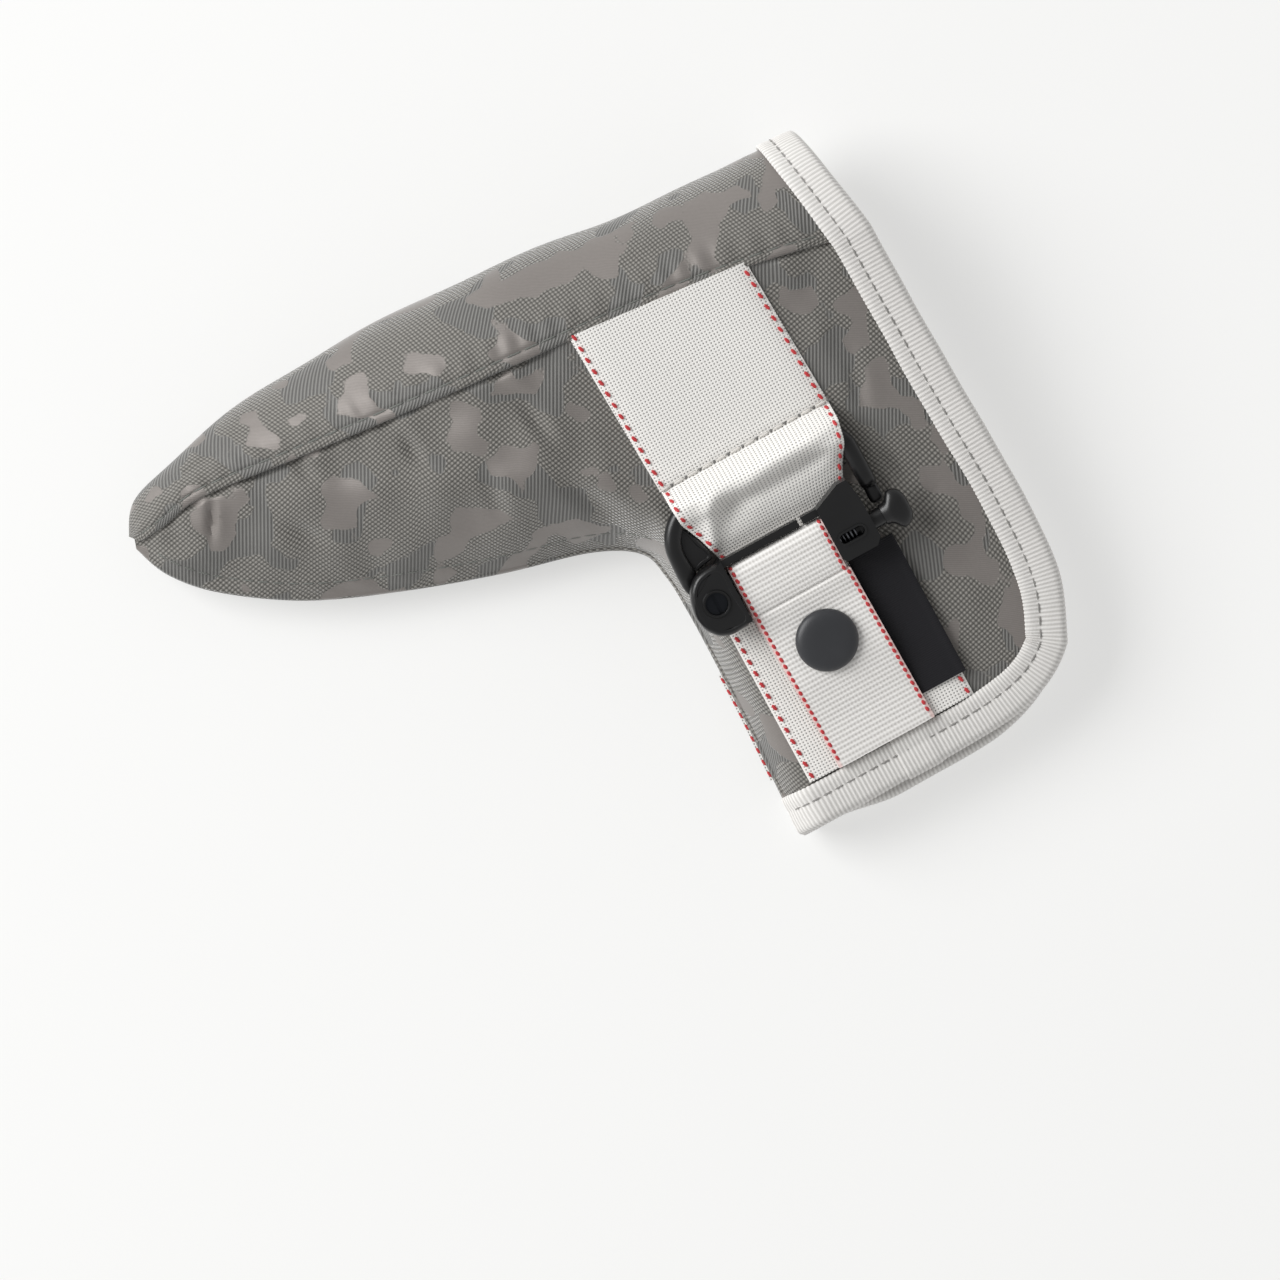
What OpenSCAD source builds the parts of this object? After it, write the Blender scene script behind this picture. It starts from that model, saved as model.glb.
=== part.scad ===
// Blade putter head cover: an L-shaped padded sleeve with a bound mouth along the heel and the lower end,
// a wide webbing on the front, and a locking clip on a snap strap.
// X runs from toe to heel, Y towards the spine over the sole, Z up from the surface the back lies on.

/* [Cover] */
// Height of the front panel's outer face at the strap's root
front_z = 19; // [17:0.5:24]
// Slope of the front panel, rising towards the spine
front_slope = 10; // [8:0.5:12]
// Share of the height that is lost at the toe tip
toe_drop = 0.55; // [0.4:0.05:0.65]
// Height of the seam along the inner edge
seam_z = 9; // [8:0.5:11]
// Half the thickness of that seam
seam_half = 2; // [1.5:0.1:2.5]
// Width over which the arm rounds down to the inner seam
arm_round = 26; // [20:1:32]
// Width over which the leg rounds down to the inner seam
leg_round = 7; // [6:0.5:9]

/* [Layers] */
// Thickness of the outer fabric
fabric_t = 0.9; // [0.6:0.1:1.2]
// Thickness of the foam
foam_t = 2; // [1.5:0.1:3]
// Thickness of the lining
lining_t = 0.8; // [0.5:0.1:1.2]
// Thickness of the binding tape
tape_t = 0.9; // [0.6:0.1:1.2]
// Width of the binding on the face of a panel
tape_w = 9; // [7:0.5:11]
// Diameter of the closing magnets
magnet_d = 14; // [10:1:14]

/* [Webbing] */
// Width of the wide webbing
web_w = 45; // [40:1:50]
// Thickness of the wide webbing
web_t = 1.4; // [1.2:0.1:1.5]
// Width of the narrow strap
strap_w = 25; // [20:0.5:26]
// Thickness of the narrow strap
strap_t = 1.2; // [1:0.1:1.3]
// Width of the label
label_w = 12.3; // [8:0.1:14]
// Length of the label
label_l = 34; // [25:1:36]
// Thickness of the label
label_t = 0.6; // [0.4:0.1:0.8]

/* [Snap] */
// Diameter of the cap
cap_d = 15; // [12:0.5:18]
// Height of the cap over the strap
cap_h = 2.6; // [2:0.1:4]
// Diameter of the stud's knob
knob_d = 5; // [4:0.1:6]

/* [Clip] */
// Diameter of the main bar
bar_d = 3.2; // [2.6:0.1:3.4]
// Diameter of the bow
bow_d = 4.2; // [3.6:0.1:4.4]
// Diameter of the pivot pin
pin_d = 3; // [2.4:0.1:3.2]
// Diameter of the button's shaft
shaft_d = 4.4; // [3.6:0.1:4.8]
// Travel of the button
button_travel = 2.5; // [1.5:0.1:3]
// Height of the clip's ears over the fabric
ear_h = 9.4; // [9:0.1:11]

/* [Hidden] */
$fn = 48;

// Clearances: resting faces, sewn faces, turning fits, and pieces that move past each other
touch = 0.1;
fit = 0.05;
clear = 0.3;

// Colours
fabric_colour = [0.43, 0.45, 0.43];
web_colour = [0.88, 0.87, 0.85];
foam_colour = [0.75, 0.74, 0.70];
lining_colour = [0.30, 0.30, 0.31];
plastic_colour = [0.13, 0.13, 0.14];
metal_colour = [0.62, 0.62, 0.63];

// Middle of the outline, which becomes the origin
middle = [-8.2, 1.4];

// Cut pattern, from the toe tip to the mouth's lower edge: inner edge, spine seam then rim, spine outline
inner_edge = [
    [-103.6, 60.6], [-99.8, 51.5], [-91, 42], [-74, 30.6], [-53, 21.6], [-30, 13.8], [-9, 8],
    [1.6, 1.8], [4.2, -6], [4.8, -16], [4.8, -30], [4.4, -46], [3.6, -61], [3, -75]
];
outer_edge = [
    [-103, 62.2], [-95, 62.8], [-83.5, 64.4], [-61, 61.7], [-38, 59], [-13, 56.4], [11, 54.4],
    [40, 51.6], [64, 47.8], [84.2, 43], [84.9, 5], [86, -28], [84.6, -50], [78.8, -65]
];
spine = [
    [-104, 63.4], [-98.5, 70.6], [-86, 74.4], [-63, 78.6], [-38, 79.6], [-10, 78.8], [15, 76.5],
    [42, 73.2], [64, 72.2], [80, 71]
];
heel = len(spine) - 1;
last = len(inner_edge) - 1;
hinge_y = inner_edge[last].y + tape_w + 0.2;

// Grid steps: along each stretch of the pattern, across a panel, and round the spine
along_steps = 3;
across_steps = 8;
round_steps = 8;
stack_t = fabric_t + foam_t + lining_t;

// Smooth step, clamped ramp, and unit vector
function clamp(t) = max(0, min(1, t));
function smooth(t) = let (c = clamp(t)) c * c * (3 - 2 * c);
function ramp(t, a, b) = clamp((t - a) / (b - a));
function mix(a, b, t) = a + (b - a) * t;
function unit(v) = v / norm(v);

// Smooth curve through the points, with a sharp corner at the point "stop"
function bend(p, i, t, stop) =
    let (a = p[i == 0 || i == stop ? i : i - 1])
    let (b = p[i])
    let (c = p[i + 1])
    let (d = p[i + 2 == len(p) || i + 1 == stop ? i + 1 : i + 2])
    (2 * b + (c - a) * t + (2 * a - 5 * b + 4 * c - d) * t * t + (3 * b - a - 3 * c + d) * t * t * t) / 2;
function along(p, s, stop = -1) = let (i = min(floor(s), len(p) - 2)) bend(p, i, s - i, stop);

// Plan of a panel at station s and share v across, with the mouth's lower corner rounded
function corner_power(s) = 1 + 7 * smooth((s - heel - 1) / (last - heel - 1));
function plan(s, v) =
    let (a = along(inner_edge, s))
    let (b = along(outer_edge, s, heel))
    [mix(a.x, b.x, v), mix(a.y, b.y, pow(v, corner_power(s)))];
function reach(s) = norm(along(outer_edge, s, heel) - along(inner_edge, s));
function round_w(s) = mix(arm_round, leg_round, smooth((s - 4) / 4.5));
function rise(s, v) = 1 - pow(1 - clamp(v * reach(s) / round_w(s)), 2);

// Heights of the two outer faces: the front slopes up to the spine, the back lies flat and lifts
// by the tape's thickness under the binding
function level(p) =
    (front_z + (p.y - hinge_y) * tan(front_slope)) * (1 - toe_drop * smooth(p.x / inner_edge[0].x));
function near_rim(s, v) =
    max(ramp(s, heel - 1, heel - 0.5) * ramp(v, 0.69, 0.85), ramp(s, last - 1.5, last - 1));
function z_front(s, v) = mix(seam_z + seam_half, level(plan(s, v)), rise(s, v));
function z_back(s, v) =
    max((seam_z - seam_half) * (1 - rise(s, v)), (tape_t + clear) * near_rim(s, v));

// Share of their thickness that the layers keep where front and back draw together
function keep(room) = min(1, room / (stack_t + tape_t + 3 * clear));
function squeeze(s, v) = keep((z_front(s, v) - z_back(s, v)) / 2);

// Points at a depth under the outer face, on the front, the back and round the spine
function front_at(s, v, depth = 0) = let (p = plan(s, v)) [p.x, p.y, z_front(s, v) - depth * squeeze(s, v)];
function back_at(s, v, depth = 0) = let (p = plan(s, v)) [p.x, p.y, z_back(s, v) + depth * squeeze(s, v)];
function spine_at(s, turn, depth = 0) =
    let (a = along(outer_edge, s, heel))
    let (w = along(spine, s) - a)
    let (half = (z_front(s, 1) - z_back(s, 1)) / 2)
    let (d = depth * keep(min(half, norm(w))))
    let (p = a + unit(w) * (norm(w) - d) * cos(turn))
    [p.x, p.y, z_back(s, 1) + half + (half - d) * sin(turn)];

// Stations and shares of the grids
function stations(end) = [for (k = [0 : end * along_steps]) k / along_steps];
shares = [for (j = [0 : across_steps]) (1 - cos(180 * j / across_steps)) / 2];
turns = [for (j = [0 : round_steps]) 90 - 180 * j / round_steps];

// Shell between two grids of points, rows by columns
module shell(outer, inner, flip = false) {
    rows = len(outer);
    cols = len(outer[0]);
    all_points = [for (g = [outer, inner]) for (r = g) for (p = r) p];
    function at(g, r, c) = (g * rows + r) * cols + c;
    function quad(a, b, c, d) = [[a, b, c], [a, c, d]];
    outside = [for (r = [0 : rows - 2]) for (c = [0 : cols - 2])
        quad(at(0, r, c), at(0, r, c + 1), at(0, r + 1, c + 1), at(0, r + 1, c))];
    inside = [for (r = [0 : rows - 2]) for (c = [0 : cols - 2])
        quad(at(1, r, c), at(1, r + 1, c), at(1, r + 1, c + 1), at(1, r, c + 1))];
    ends = [for (c = [0 : cols - 2]) each [
        quad(at(0, 0, c), at(1, 0, c), at(1, 0, c + 1), at(0, 0, c + 1)),
        quad(at(0, rows - 1, c), at(0, rows - 1, c + 1), at(1, rows - 1, c + 1), at(1, rows - 1, c))]];
    sides = [for (r = [0 : rows - 2]) each [
        quad(at(0, r, 0), at(0, r + 1, 0), at(1, r + 1, 0), at(1, r, 0)),
        quad(at(0, r, cols - 1), at(1, r, cols - 1), at(1, r + 1, cols - 1), at(0, r + 1, cols - 1))]];
    triangles = [for (q = concat(outside, inside, ends, sides)) each q];
    polyhedron(all_points, flip ? [for (t = triangles) [t[0], t[2], t[1]]] : triangles);
}
module front_layer(top, bottom) {
    function grid(d) = [for (s = stations(last)) [for (v = shares) front_at(s, v, d)]];
    shell(grid(top), grid(bottom));
}
module back_layer(top, bottom) {
    function grid(d) = [for (s = stations(last)) [for (v = shares) back_at(s, v, d)]];
    shell(grid(top), grid(bottom), true);
}
module spine_layer(top, bottom) {
    function grid(d) = [for (s = stations(heel)) [for (a = turns) spine_at(s, a, d)]];
    shell(grid(top), grid(bottom));
}

// Places: the whole part, and the front panel's own plane with p up the slope and q off the fabric
module in_place() {
    translate([-middle.x, -middle.y, 0])
        children();
}
module on_front() {
    in_place()
        translate([0, hinge_y, front_z])
            rotate([front_slope, 0, 0])
                children();
}
function up_slope(y) = (y - hinge_y) / cos(front_slope);

// Extrusion of a profile drawn in p and q, along X
module along_x(from, to) {
    translate([from, 0, 0])
        rotate([90, 0, 90])
            linear_extrude(to - from)
                children();
}
module rod_x(from, to, d) {
    translate([from, 0, 0])
        rotate([0, 90, 0])
            cylinder(d = d, h = to - from);
}

// Outline of a band of a given thickness along a bent path
function path_normal(p, i) =
    let (t = unit(p[min(i + 1, len(p) - 1)] - p[max(i - 1, 0)])) [-t.y, t.x];
function band(p, t) = concat(
    [for (i = [0 : len(p) - 1]) p[i] + path_normal(p, i) * t / 2],
    [for (i = [len(p) - 1 : -1 : 0]) p[i] - path_normal(p, i) * t / 2]);

// Fabric, foam and lining
module front_panel() {
    color(fabric_colour) in_place() front_layer(0, fabric_t);
}
module back_panel() {
    color(fabric_colour) in_place() back_layer(0, fabric_t);
}
module spine_gusset() {
    color(fabric_colour) in_place() spine_layer(0, fabric_t);
}
magnet_at = [52, -30];
magnet_t = foam_t - 2 * touch;
module front_foam() {
    color(foam_colour) difference() {
        in_place() front_layer(fabric_t, fabric_t + foam_t);
        magnet_seat_front() cylinder(d = magnet_d + 2 * clear, h = 4 * stack_t, center = true);
    }
}
module back_foam() {
    color(foam_colour) difference() {
        in_place() back_layer(fabric_t, fabric_t + foam_t);
        magnet_seat_back() cylinder(d = magnet_d + 2 * clear, h = 4 * stack_t, center = true);
    }
}
module spine_foam() {
    color(foam_colour) in_place() spine_layer(fabric_t, fabric_t + foam_t);
}
module front_lining() {
    color(lining_colour) in_place() front_layer(fabric_t + foam_t, stack_t);
}
module back_lining() {
    color(lining_colour) in_place() back_layer(fabric_t + foam_t, stack_t);
}
module spine_lining() {
    color(lining_colour) in_place() spine_layer(fabric_t + foam_t, stack_t);
}

// Magnets in pockets of the foam, one behind the other
module magnet_seat_front() {
    on_front() translate([magnet_at.x, up_slope(magnet_at.y), -fabric_t - foam_t / 2]) children();
}
module magnet_seat_back() {
    in_place() translate([magnet_at.x, magnet_at.y, fabric_t + foam_t / 2]) children();
}
module front_magnet() {
    color(metal_colour) magnet_seat_front() cylinder(d = magnet_d, h = magnet_t, center = true);
}
module back_magnet() {
    color(metal_colour) magnet_seat_back() cylinder(d = magnet_d, h = magnet_t, center = true);
}

// Binding: a folded tape carried round the mouth, from the front's lower end to the back's. Each point
// of the rim has its place, the direction inward along the face, and the step into the layers
rim_stations = [for (k = [1 : (last - heel) * along_steps]) last - k / along_steps];
function side_share(s) = pow((s - heel) / (last - heel), 6);
towards_toe = [-1, 0, 0];
rim_probe = 0.2;
function rim_front(s, v, x, y) =
    [front_at(s, v), x * towards_toe + y * unit(front_at(s - rim_probe, v) - front_at(s, v)),
        front_at(s, v, 1) - front_at(s, v)];
function rim_back(s, v, x, y) =
    [back_at(s, v), x * towards_toe + y * unit(back_at(s - rim_probe, v) - back_at(s, v)),
        back_at(s, v, 1) - back_at(s, v)];
function rim_spine(turn) =
    [spine_at(heel, turn), spine_at(heel - rim_probe, turn) - spine_at(heel, turn),
        spine_at(heel, turn, 1) - spine_at(heel, turn)];
rim = concat(
    [for (v = shares) rim_front(last, v, pow(v, 6), 1)],
    [for (s = rim_stations) rim_front(s, 1, 1, side_share(s))],
    [for (j = [1 : round_steps - 1]) rim_spine(turns[j])],
    [for (k = [len(rim_stations) - 1 : -1 : 0])
        rim_back(rim_stations[k], 1, 1, side_share(rim_stations[k]))],
    [for (j = [across_steps : -1 : 0]) rim_back(last, shares[j], pow(shares[j], 6), 1)]);

// Tape's own axes at each point of the rim: off the outer face, and inward along it
function rim_along(k) = unit(rim[min(k + 1, len(rim) - 1)][0] - rim[max(k - 1, 0)][0]);
function rim_up(k) = unit(cross(rim_along(k), rim[k][1]));
function rim_in(k) = cross(rim_up(k), rim_along(k));

// Folded tape's section: inward from the rim, and up from the outer face
tape_under = -stack_t - clear;
tape_round = tape_t / 2;
tape_section = [
    [tape_w, clear], [tape_w, clear + tape_t], [tape_round, clear + tape_t],
    [-clear - tape_round, clear + tape_round], [-clear - tape_t, -stack_t / 2],
    [-clear - tape_round, tape_under - tape_round], [tape_round, tape_under - tape_t],
    [tape_w, tape_under - tape_t], [tape_w, tape_under], [-clear, tape_under], [-clear - touch, -stack_t / 2],
    [-clear, clear]
];
module mouth_binding() {
    n = len(tape_section);
    points = [for (k = [0 : len(rim) - 1]) for (t = tape_section)
        rim[k][0] + rim_in(k) * t.x + (t.y > 0 ? rim_up(k) * t.y : -rim[k][2] * t.y)];
    walls = [for (k = [0 : len(rim) - 2]) for (j = [0 : n - 1])
        let (a = k * n + j)
        let (b = k * n + (j + 1) % n)
        each [[a, b, b + n], [a, b + n, a + n]]];
    end_cut = [
        [0, 1, 2], [0, 2, 11], [11, 2, 3], [11, 3, 10], [10, 3, 4], [10, 4, 5], [10, 5, 9], [9, 5, 6],
        [9, 6, 8], [8, 6, 7]
    ];
    first_end = [for (c = end_cut) [c[0], c[2], c[1]]];
    last_end = [for (c = end_cut) c + (len(rim) - 1) * n * [1, 1, 1]];
    color(web_colour) in_place() polyhedron(points, concat(first_end, walls, last_end));
}

// Wide webbing: sewn upper run, free loop over the clip's bow, sewn lower run
web_x = 10.3;
web_lean = 1.5;
web_cross_y = 12;
web_fold_y = -25;
loop_x = web_x + web_lean;
web_mid = touch + web_t / 2;
module web_upper() {
    foot = [web_x + web_lean, up_slope(web_cross_y)];
    head_left = [web_x, up_slope(along(outer_edge, 6).y - clear)];
    head_right = [web_x + web_w, up_slope(along(outer_edge, 7.65).y - clear)];
    color(web_colour) on_front() translate([0, 0, touch]) linear_extrude(web_t)
        polygon([foot, foot + [web_w, 0], head_right, head_left]);
}
bow_q = 3.8;
bow_y = 6.3;
bow_p = up_slope(bow_y);
crest_q = bow_q + bow_d / 2 + clear + web_t / 2;
loop_path = [
    [up_slope(web_cross_y) - clear, web_mid], [up_slope(web_cross_y) - 1, web_mid + touch],
    [bow_p + 3.4, crest_q - 2.4], [bow_p + 1.8, crest_q - 0.4], [bow_p, crest_q + 0.2],
    [bow_p - 4, crest_q], [bow_p - 7, crest_q - 1.5], [bow_p - 10.5, web_mid + 2.6],
    [bow_p - 13.5, web_mid + 0.6], [bow_p - 16, web_mid], [up_slope(web_fold_y) + clear, web_mid]
];
module web_loop() {
    left = ear_end + 2 * clear;
    right = right_end - clear;
    limb_in = bow_right - bow_d / 2 - clear;
    loop_plan = [
        [loop_x, web_cross_y], [loop_x + 0.3, bow_y - 4], [left - 2, bow_y - 8.5], [left, keeper_y + 1],
        [left, web_fold_y], [right, web_fold_y], [right, keeper_y], [limb_in - 1.5, bow_y - 9],
        [limb_in - clear, bow_y - 4.5], [loop_x + web_w - 0.5, bow_y - 1.5], [loop_x + web_w, web_cross_y]
    ];
    color(web_colour) on_front() intersection() {
        along_x(loop_x, loop_x + web_w) polygon(band(loop_path, web_t));
        linear_extrude(3 * crest_q, center = true) polygon([for (p = loop_plan) [p.x, up_slope(p.y)]]);
    }
}
web_lower_x = 10;
module web_lower() {
    color(web_colour) on_front() difference() {
        translate([web_lower_x, clear, touch])
            cube([web_w - 0.8, up_slope(web_fold_y) - clear, web_t]);
        snap_place() {
            translate([0, 0, -touch]) cylinder(d = rivet_d + 2 * clear, h = rivet_t + 2 * touch + touch);
            cylinder(d = shank_d + 2 * fit, h = 3 * web_t);
        }
    }
}

// Tape that is caught in the inner leg's seam and peeks out of it
leg_tape_t = 0.6;
leg_tape_out = 1.2;
leg_tape_in = 3;
leg_tape_from = 10.2;
leg_tape_to = 12.2;
module leg_seam_tape() {
    path = [for (k = [0 : 8]) along(inner_edge, mix(leg_tape_from, leg_tape_to, k / 8))];
    color(web_colour) in_place() translate([0, 0, seam_z - leg_tape_t / 2]) linear_extrude(leg_tape_t)
        polygon(concat([for (p = path) p - [leg_tape_out, 0]],
            [for (k = [len(path) - 1 : -1 : 0]) path[k] + [leg_tape_in, 0]]));
}

// Bare woven label on the lower run, beside the strap
label_gap = 2.4;
label_out = 0.2;
module label_tab() {
    label_p = button_p - ear_low - label_gap - label_l;
    color(plastic_colour) on_front()
        translate([web_lower_x + web_w - label_w + label_out, label_p, web_t + 2 * touch])
            cube([label_w, label_l, label_t]);
}

// Snap: stud and rivet on the webbing, socket and cap on the strap
snap_x = 29.6;
snap_p = up_slope(-36.7);
rivet_d = 8;
rivet_t = 0.6;
shank_d = 4;
stud_d = 9.5;
stud_t = 0.6;
knob_h = 2;
socket_d = 11;
strap_low = web_t + touch + clear;
strap_high = 4.5;
module snap_place() {
    translate([snap_x, snap_p, touch]) children();
}
module snap_rivet() {
    color(metal_colour) on_front() snap_place() {
        cylinder(d = rivet_d, h = rivet_t);
        cylinder(d = shank_d, h = web_t);
    }
}
module snap_stud() {
    color(metal_colour) on_front() snap_place() translate([0, 0, web_t]) {
        cylinder(d = stud_d, h = stud_t);
        cylinder(d = knob_d - 0.6, h = stud_t + knob_h);
        translate([0, 0, stud_t + knob_h / 2]) cylinder(d = knob_d, h = knob_h / 2);
    }
}
socket_q = touch + web_t + stud_t + clear;
cap_post_d = 3.6;
module snap_socket() {
    color(metal_colour) on_front() translate([snap_x, snap_p, socket_q]) difference() {
        cylinder(d = socket_d, h = strap_high - socket_q);
        translate([0, 0, -touch]) cylinder(d = knob_d + 2 * clear, h = knob_h + clear);
    }
}
module snap_cap() {
    rim_r = cap_d / 2;
    color(plastic_colour) on_front() translate([snap_x, snap_p, strap_high + strap_t]) {
        rotate_extrude() polygon([
            [0, 0], [rim_r - 0.6, 0], [rim_r, 0.5], [rim_r, cap_h * 0.45], [rim_r - 0.7, cap_h * 0.75],
            [rim_r - 2, cap_h * 0.92], [rim_r * 0.4, cap_h], [0, cap_h]]);
        translate([0, 0, -strap_t]) cylinder(d = cap_post_d, h = strap_t);
    }
}

// Strap: from the binding, over the snap, round the clip's main bar and back to a cross stitch
strap_x = 16.6;
bar_y = -13.2;
bar_q = 5;
bar_p = up_slope(bar_y);
loop_r = bar_d / 2 + clear + strap_t / 2;
loop_turns = [for (k = [0 : 10]) 90 - 18 * k];
strap_path = concat(
    [[clear + fit, strap_low + strap_t / 2], [11, strap_low + strap_t / 2 + 0.9],
        [snap_p - 7, strap_high + strap_t / 2], [snap_p + 7, strap_high + strap_t / 2],
        [bar_p - 7, bar_q + loop_r - 0.3]],
    [for (a = loop_turns) [bar_p, bar_q] + loop_r * [cos(a), sin(a)]],
    [[bar_p - 6, bar_q - loop_r + 0.3], [snap_p + 8.5, strap_high - strap_t / 2 - touch]]);
module snap_strap() {
    color(web_colour) on_front() difference() {
        along_x(strap_x, strap_x + strap_w) polygon(band(strap_path, strap_t));
        translate([snap_x, snap_p, 0]) cylinder(d = cap_post_d + 2 * fit, h = 20);
    }
}

// Clip frame: left fork ear, right ear with the button's chamber, main bar and split keeper bar
pivot = [10.8, up_slope(-16.2)];
ear_q = 1.6;
eye_q = 2.9;
eye_t = 2;
eye_r = 4.2;
ear_r = 5.6;
ear_foot = up_slope(-24);
ear_low = 5.2;
ear_w = 10.4;
tip_l = 4;
ear_end = strap_x - clear;
right_x = strap_x + strap_w + clear;
right_end = right_x + ear_w;
button_p = up_slope(-17.2);
button_q = 5.7;
chamber_d = 6;
pin_seat_d = pin_d + 2.4;
window_r = 1.2;
lip_w = 0.5;
lip_h = 0.4;
chamber_from = right_x + 1;
chamber_to = right_end - 2;
keeper_y = -9.1;
keeper_p = up_slope(keeper_y);
keeper_gap_x = 37.2;
module left_ear() {
    difference() {
        union() {
            translate([0, 0, ear_q]) linear_extrude(ear_h - ear_q) {
                translate(pivot - [0, 1]) circle(r = ear_r);
                polygon([pivot + [-4.6, 2.2], pivot + [1, 6.4], [ear_end, keeper_p + 1.2], [ear_end, ear_foot],
                    pivot + [0, -ear_r - 1]]);
            }
            translate([pivot.x, pivot.y, ear_h - 1]) cylinder(d = pin_seat_d + 2 * lip_w, h = 1 + lip_h);
        }
        translate([0, 0, eye_q - clear]) linear_extrude(eye_t + 2 * clear) {
            translate(pivot) circle(r = eye_r + clear);
            translate(pivot - [20, 20]) square([20, 40]);
            translate(pivot - [1, 0]) square([4.4, 20]);
        }
        translate(pivot) cylinder(d = pin_d + 2 * fit, h = 3 * ear_h, center = true);
        translate([pivot.x, pivot.y, ear_h - 1]) cylinder(d = pin_seat_d, h = 3);
    }
}
module window(reach) {
    span = chamber_to - chamber_from - 3.4;
    translate([chamber_from + 1.7, button_p]) {
        translate([0, -reach]) square([span, 2 * reach]);
        circle(r = reach);
        translate([span, 0]) circle(r = reach);
    }
}
module right_ear() {
    difference() {
        union() {
            translate([0, 0, ear_q + clear]) linear_extrude(ear_h - ear_q - clear)
                polygon([[right_x, button_p - ear_low + 1], [right_x + 1, button_p - ear_low],
                    [right_end - 1.6, button_p - ear_low], [right_end, button_p - ear_low + 1.6],
                    [right_end, keeper_p - 1.4], [right_x, keeper_p - 1.4]]);
            translate([0, 0, bar_q - 0.4]) linear_extrude(ear_h - bar_q + 0.4)
                polygon([[right_x, keeper_p - 1.4], [right_end, keeper_p - 1.4], [right_end - 1, keeper_p + tip_l],
                    [right_end - 3.4, keeper_p + tip_l], [right_x, keeper_p + 1]]);
            translate([0, 0, ear_h - 0.5]) linear_extrude(lip_h + 0.5) window(window_r + lip_w);
        }
        translate([0, button_p, button_q]) {
            rod_x(chamber_from, chamber_to, chamber_d);
            rod_x(chamber_to - 1, right_end + 1, shaft_d + 2 * fit);
        }
        translate([0, 0, button_q]) linear_extrude(ear_h) window(window_r);
    }
}
module clip_frame() {
    keeper_w = 1.8;
    keeper_h = 2.6;
    color(plastic_colour) on_front() {
        left_ear();
        right_ear();
        translate([0, bar_p, bar_q]) rod_x(pivot.x + eye_r + 2 * clear, right_x + 0.7, bar_d);
        for (span = [[ear_end - 1, keeper_gap_x - 0.5], [keeper_gap_x + 0.5, right_x + 1]])
            translate([span[0], keeper_p - keeper_w / 2, bar_q - keeper_h / 2 + 0.9])
                cube([span[1] - span[0], keeper_w, keeper_h]);
    }
}

// Pivot pin with a flush slotted head
module clip_pivot_pin() {
    color(metal_colour) on_front() translate([pivot.x, pivot.y, 0]) difference() {
        union() {
            translate([0, 0, ear_q]) cylinder(d = pin_d, h = ear_h - ear_q - 0.3);
            translate([0, 0, ear_h - 0.95]) cylinder(d = pin_seat_d - 4 * fit, h = 0.65);
        }
        translate([-0.4, -5, ear_h - 0.7]) cube([0.8, 10, 1]);
    }
}

// Bow: flat eye on the pivot, and a limb that swells out of it, turns twice and ends in a flat tongue.
// Each ring of the limb has a place, a width across the path and a height off the fabric
bow_left = 7.6;
bow_right = 55.9;
bow_corner = 6;
bow_sides = 12;
tongue_w = 3.4;
tongue_h = 2.2;
tongue_q = 3;
bow_low = bow_p - bow_corner;
function bow_turn(x, from) = [for (a = [from : -15 : from - 90])
    [x + bow_corner * cos(a), bow_low + bow_corner * sin(a), bow_q, bow_d, bow_d]];
bow_rings = concat(
    [[pivot.x - 1.6, pivot.y + 1.4, eye_q + eye_t / 2, bow_d, eye_t],
        [pivot.x - 2.9, pivot.y + 5.6, eye_q + eye_t / 2, bow_d, eye_t],
        [bow_left, pivot.y + 8.4, bow_q, bow_d + 0.4, bow_d]],
    bow_turn(bow_left + bow_corner, 180),
    bow_turn(bow_right - bow_corner, 90),
    [[bow_right, up_slope(-8), bow_q, bow_d, bow_d], [bow_right, up_slope(-10.5), tongue_q, tongue_w, tongue_h],
        [bow_right, up_slope(-13.2), tongue_q, tongue_w, tongue_h],
        [bow_right, up_slope(-14), tongue_q, tongue_w * 0.8, tongue_h * 0.8],
        [bow_right, up_slope(-14.4), tongue_q, tongue_w * 0.4, tongue_h * 0.4]]);
function bow_side(k) =
    let (t = unit(bow_rings[min(k + 1, len(bow_rings) - 1)] - bow_rings[max(k - 1, 0)])) unit([t.y, -t.x]);
module bow_limb() {
    n = bow_sides;
    ends = len(bow_rings) - 1;
    points = [for (k = [0 : ends]) for (j = [0 : n - 1])
        let (r = bow_rings[k])
        let (off = bow_side(k) * r[3] / 2 * cos(360 * j / n))
        [r.x + off.x, r.y + off.y, r.z + r[4] / 2 * sin(360 * j / n)]];
    walls = [for (k = [0 : ends - 1]) for (j = [0 : n - 1])
        let (a = k * n + j)
        let (b = k * n + (j + 1) % n)
        each [[a, b, b + n], [a, b + n, a + n]]];
    first_end = [for (j = [n - 1 : -1 : 0]) j];
    last_end = [for (j = [0 : n - 1]) ends * n + j];
    polyhedron(points, concat([first_end], walls, [last_end]));
}
module clip_bow() {
    color(plastic_colour) on_front() difference() {
        union() {
            translate([pivot.x, pivot.y, eye_q]) cylinder(r = eye_r, h = eye_t);
            bow_limb();
        }
        translate(pivot) cylinder(d = pin_d + 2 * fit, h = 3 * ear_h, center = true);
    }
}

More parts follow.
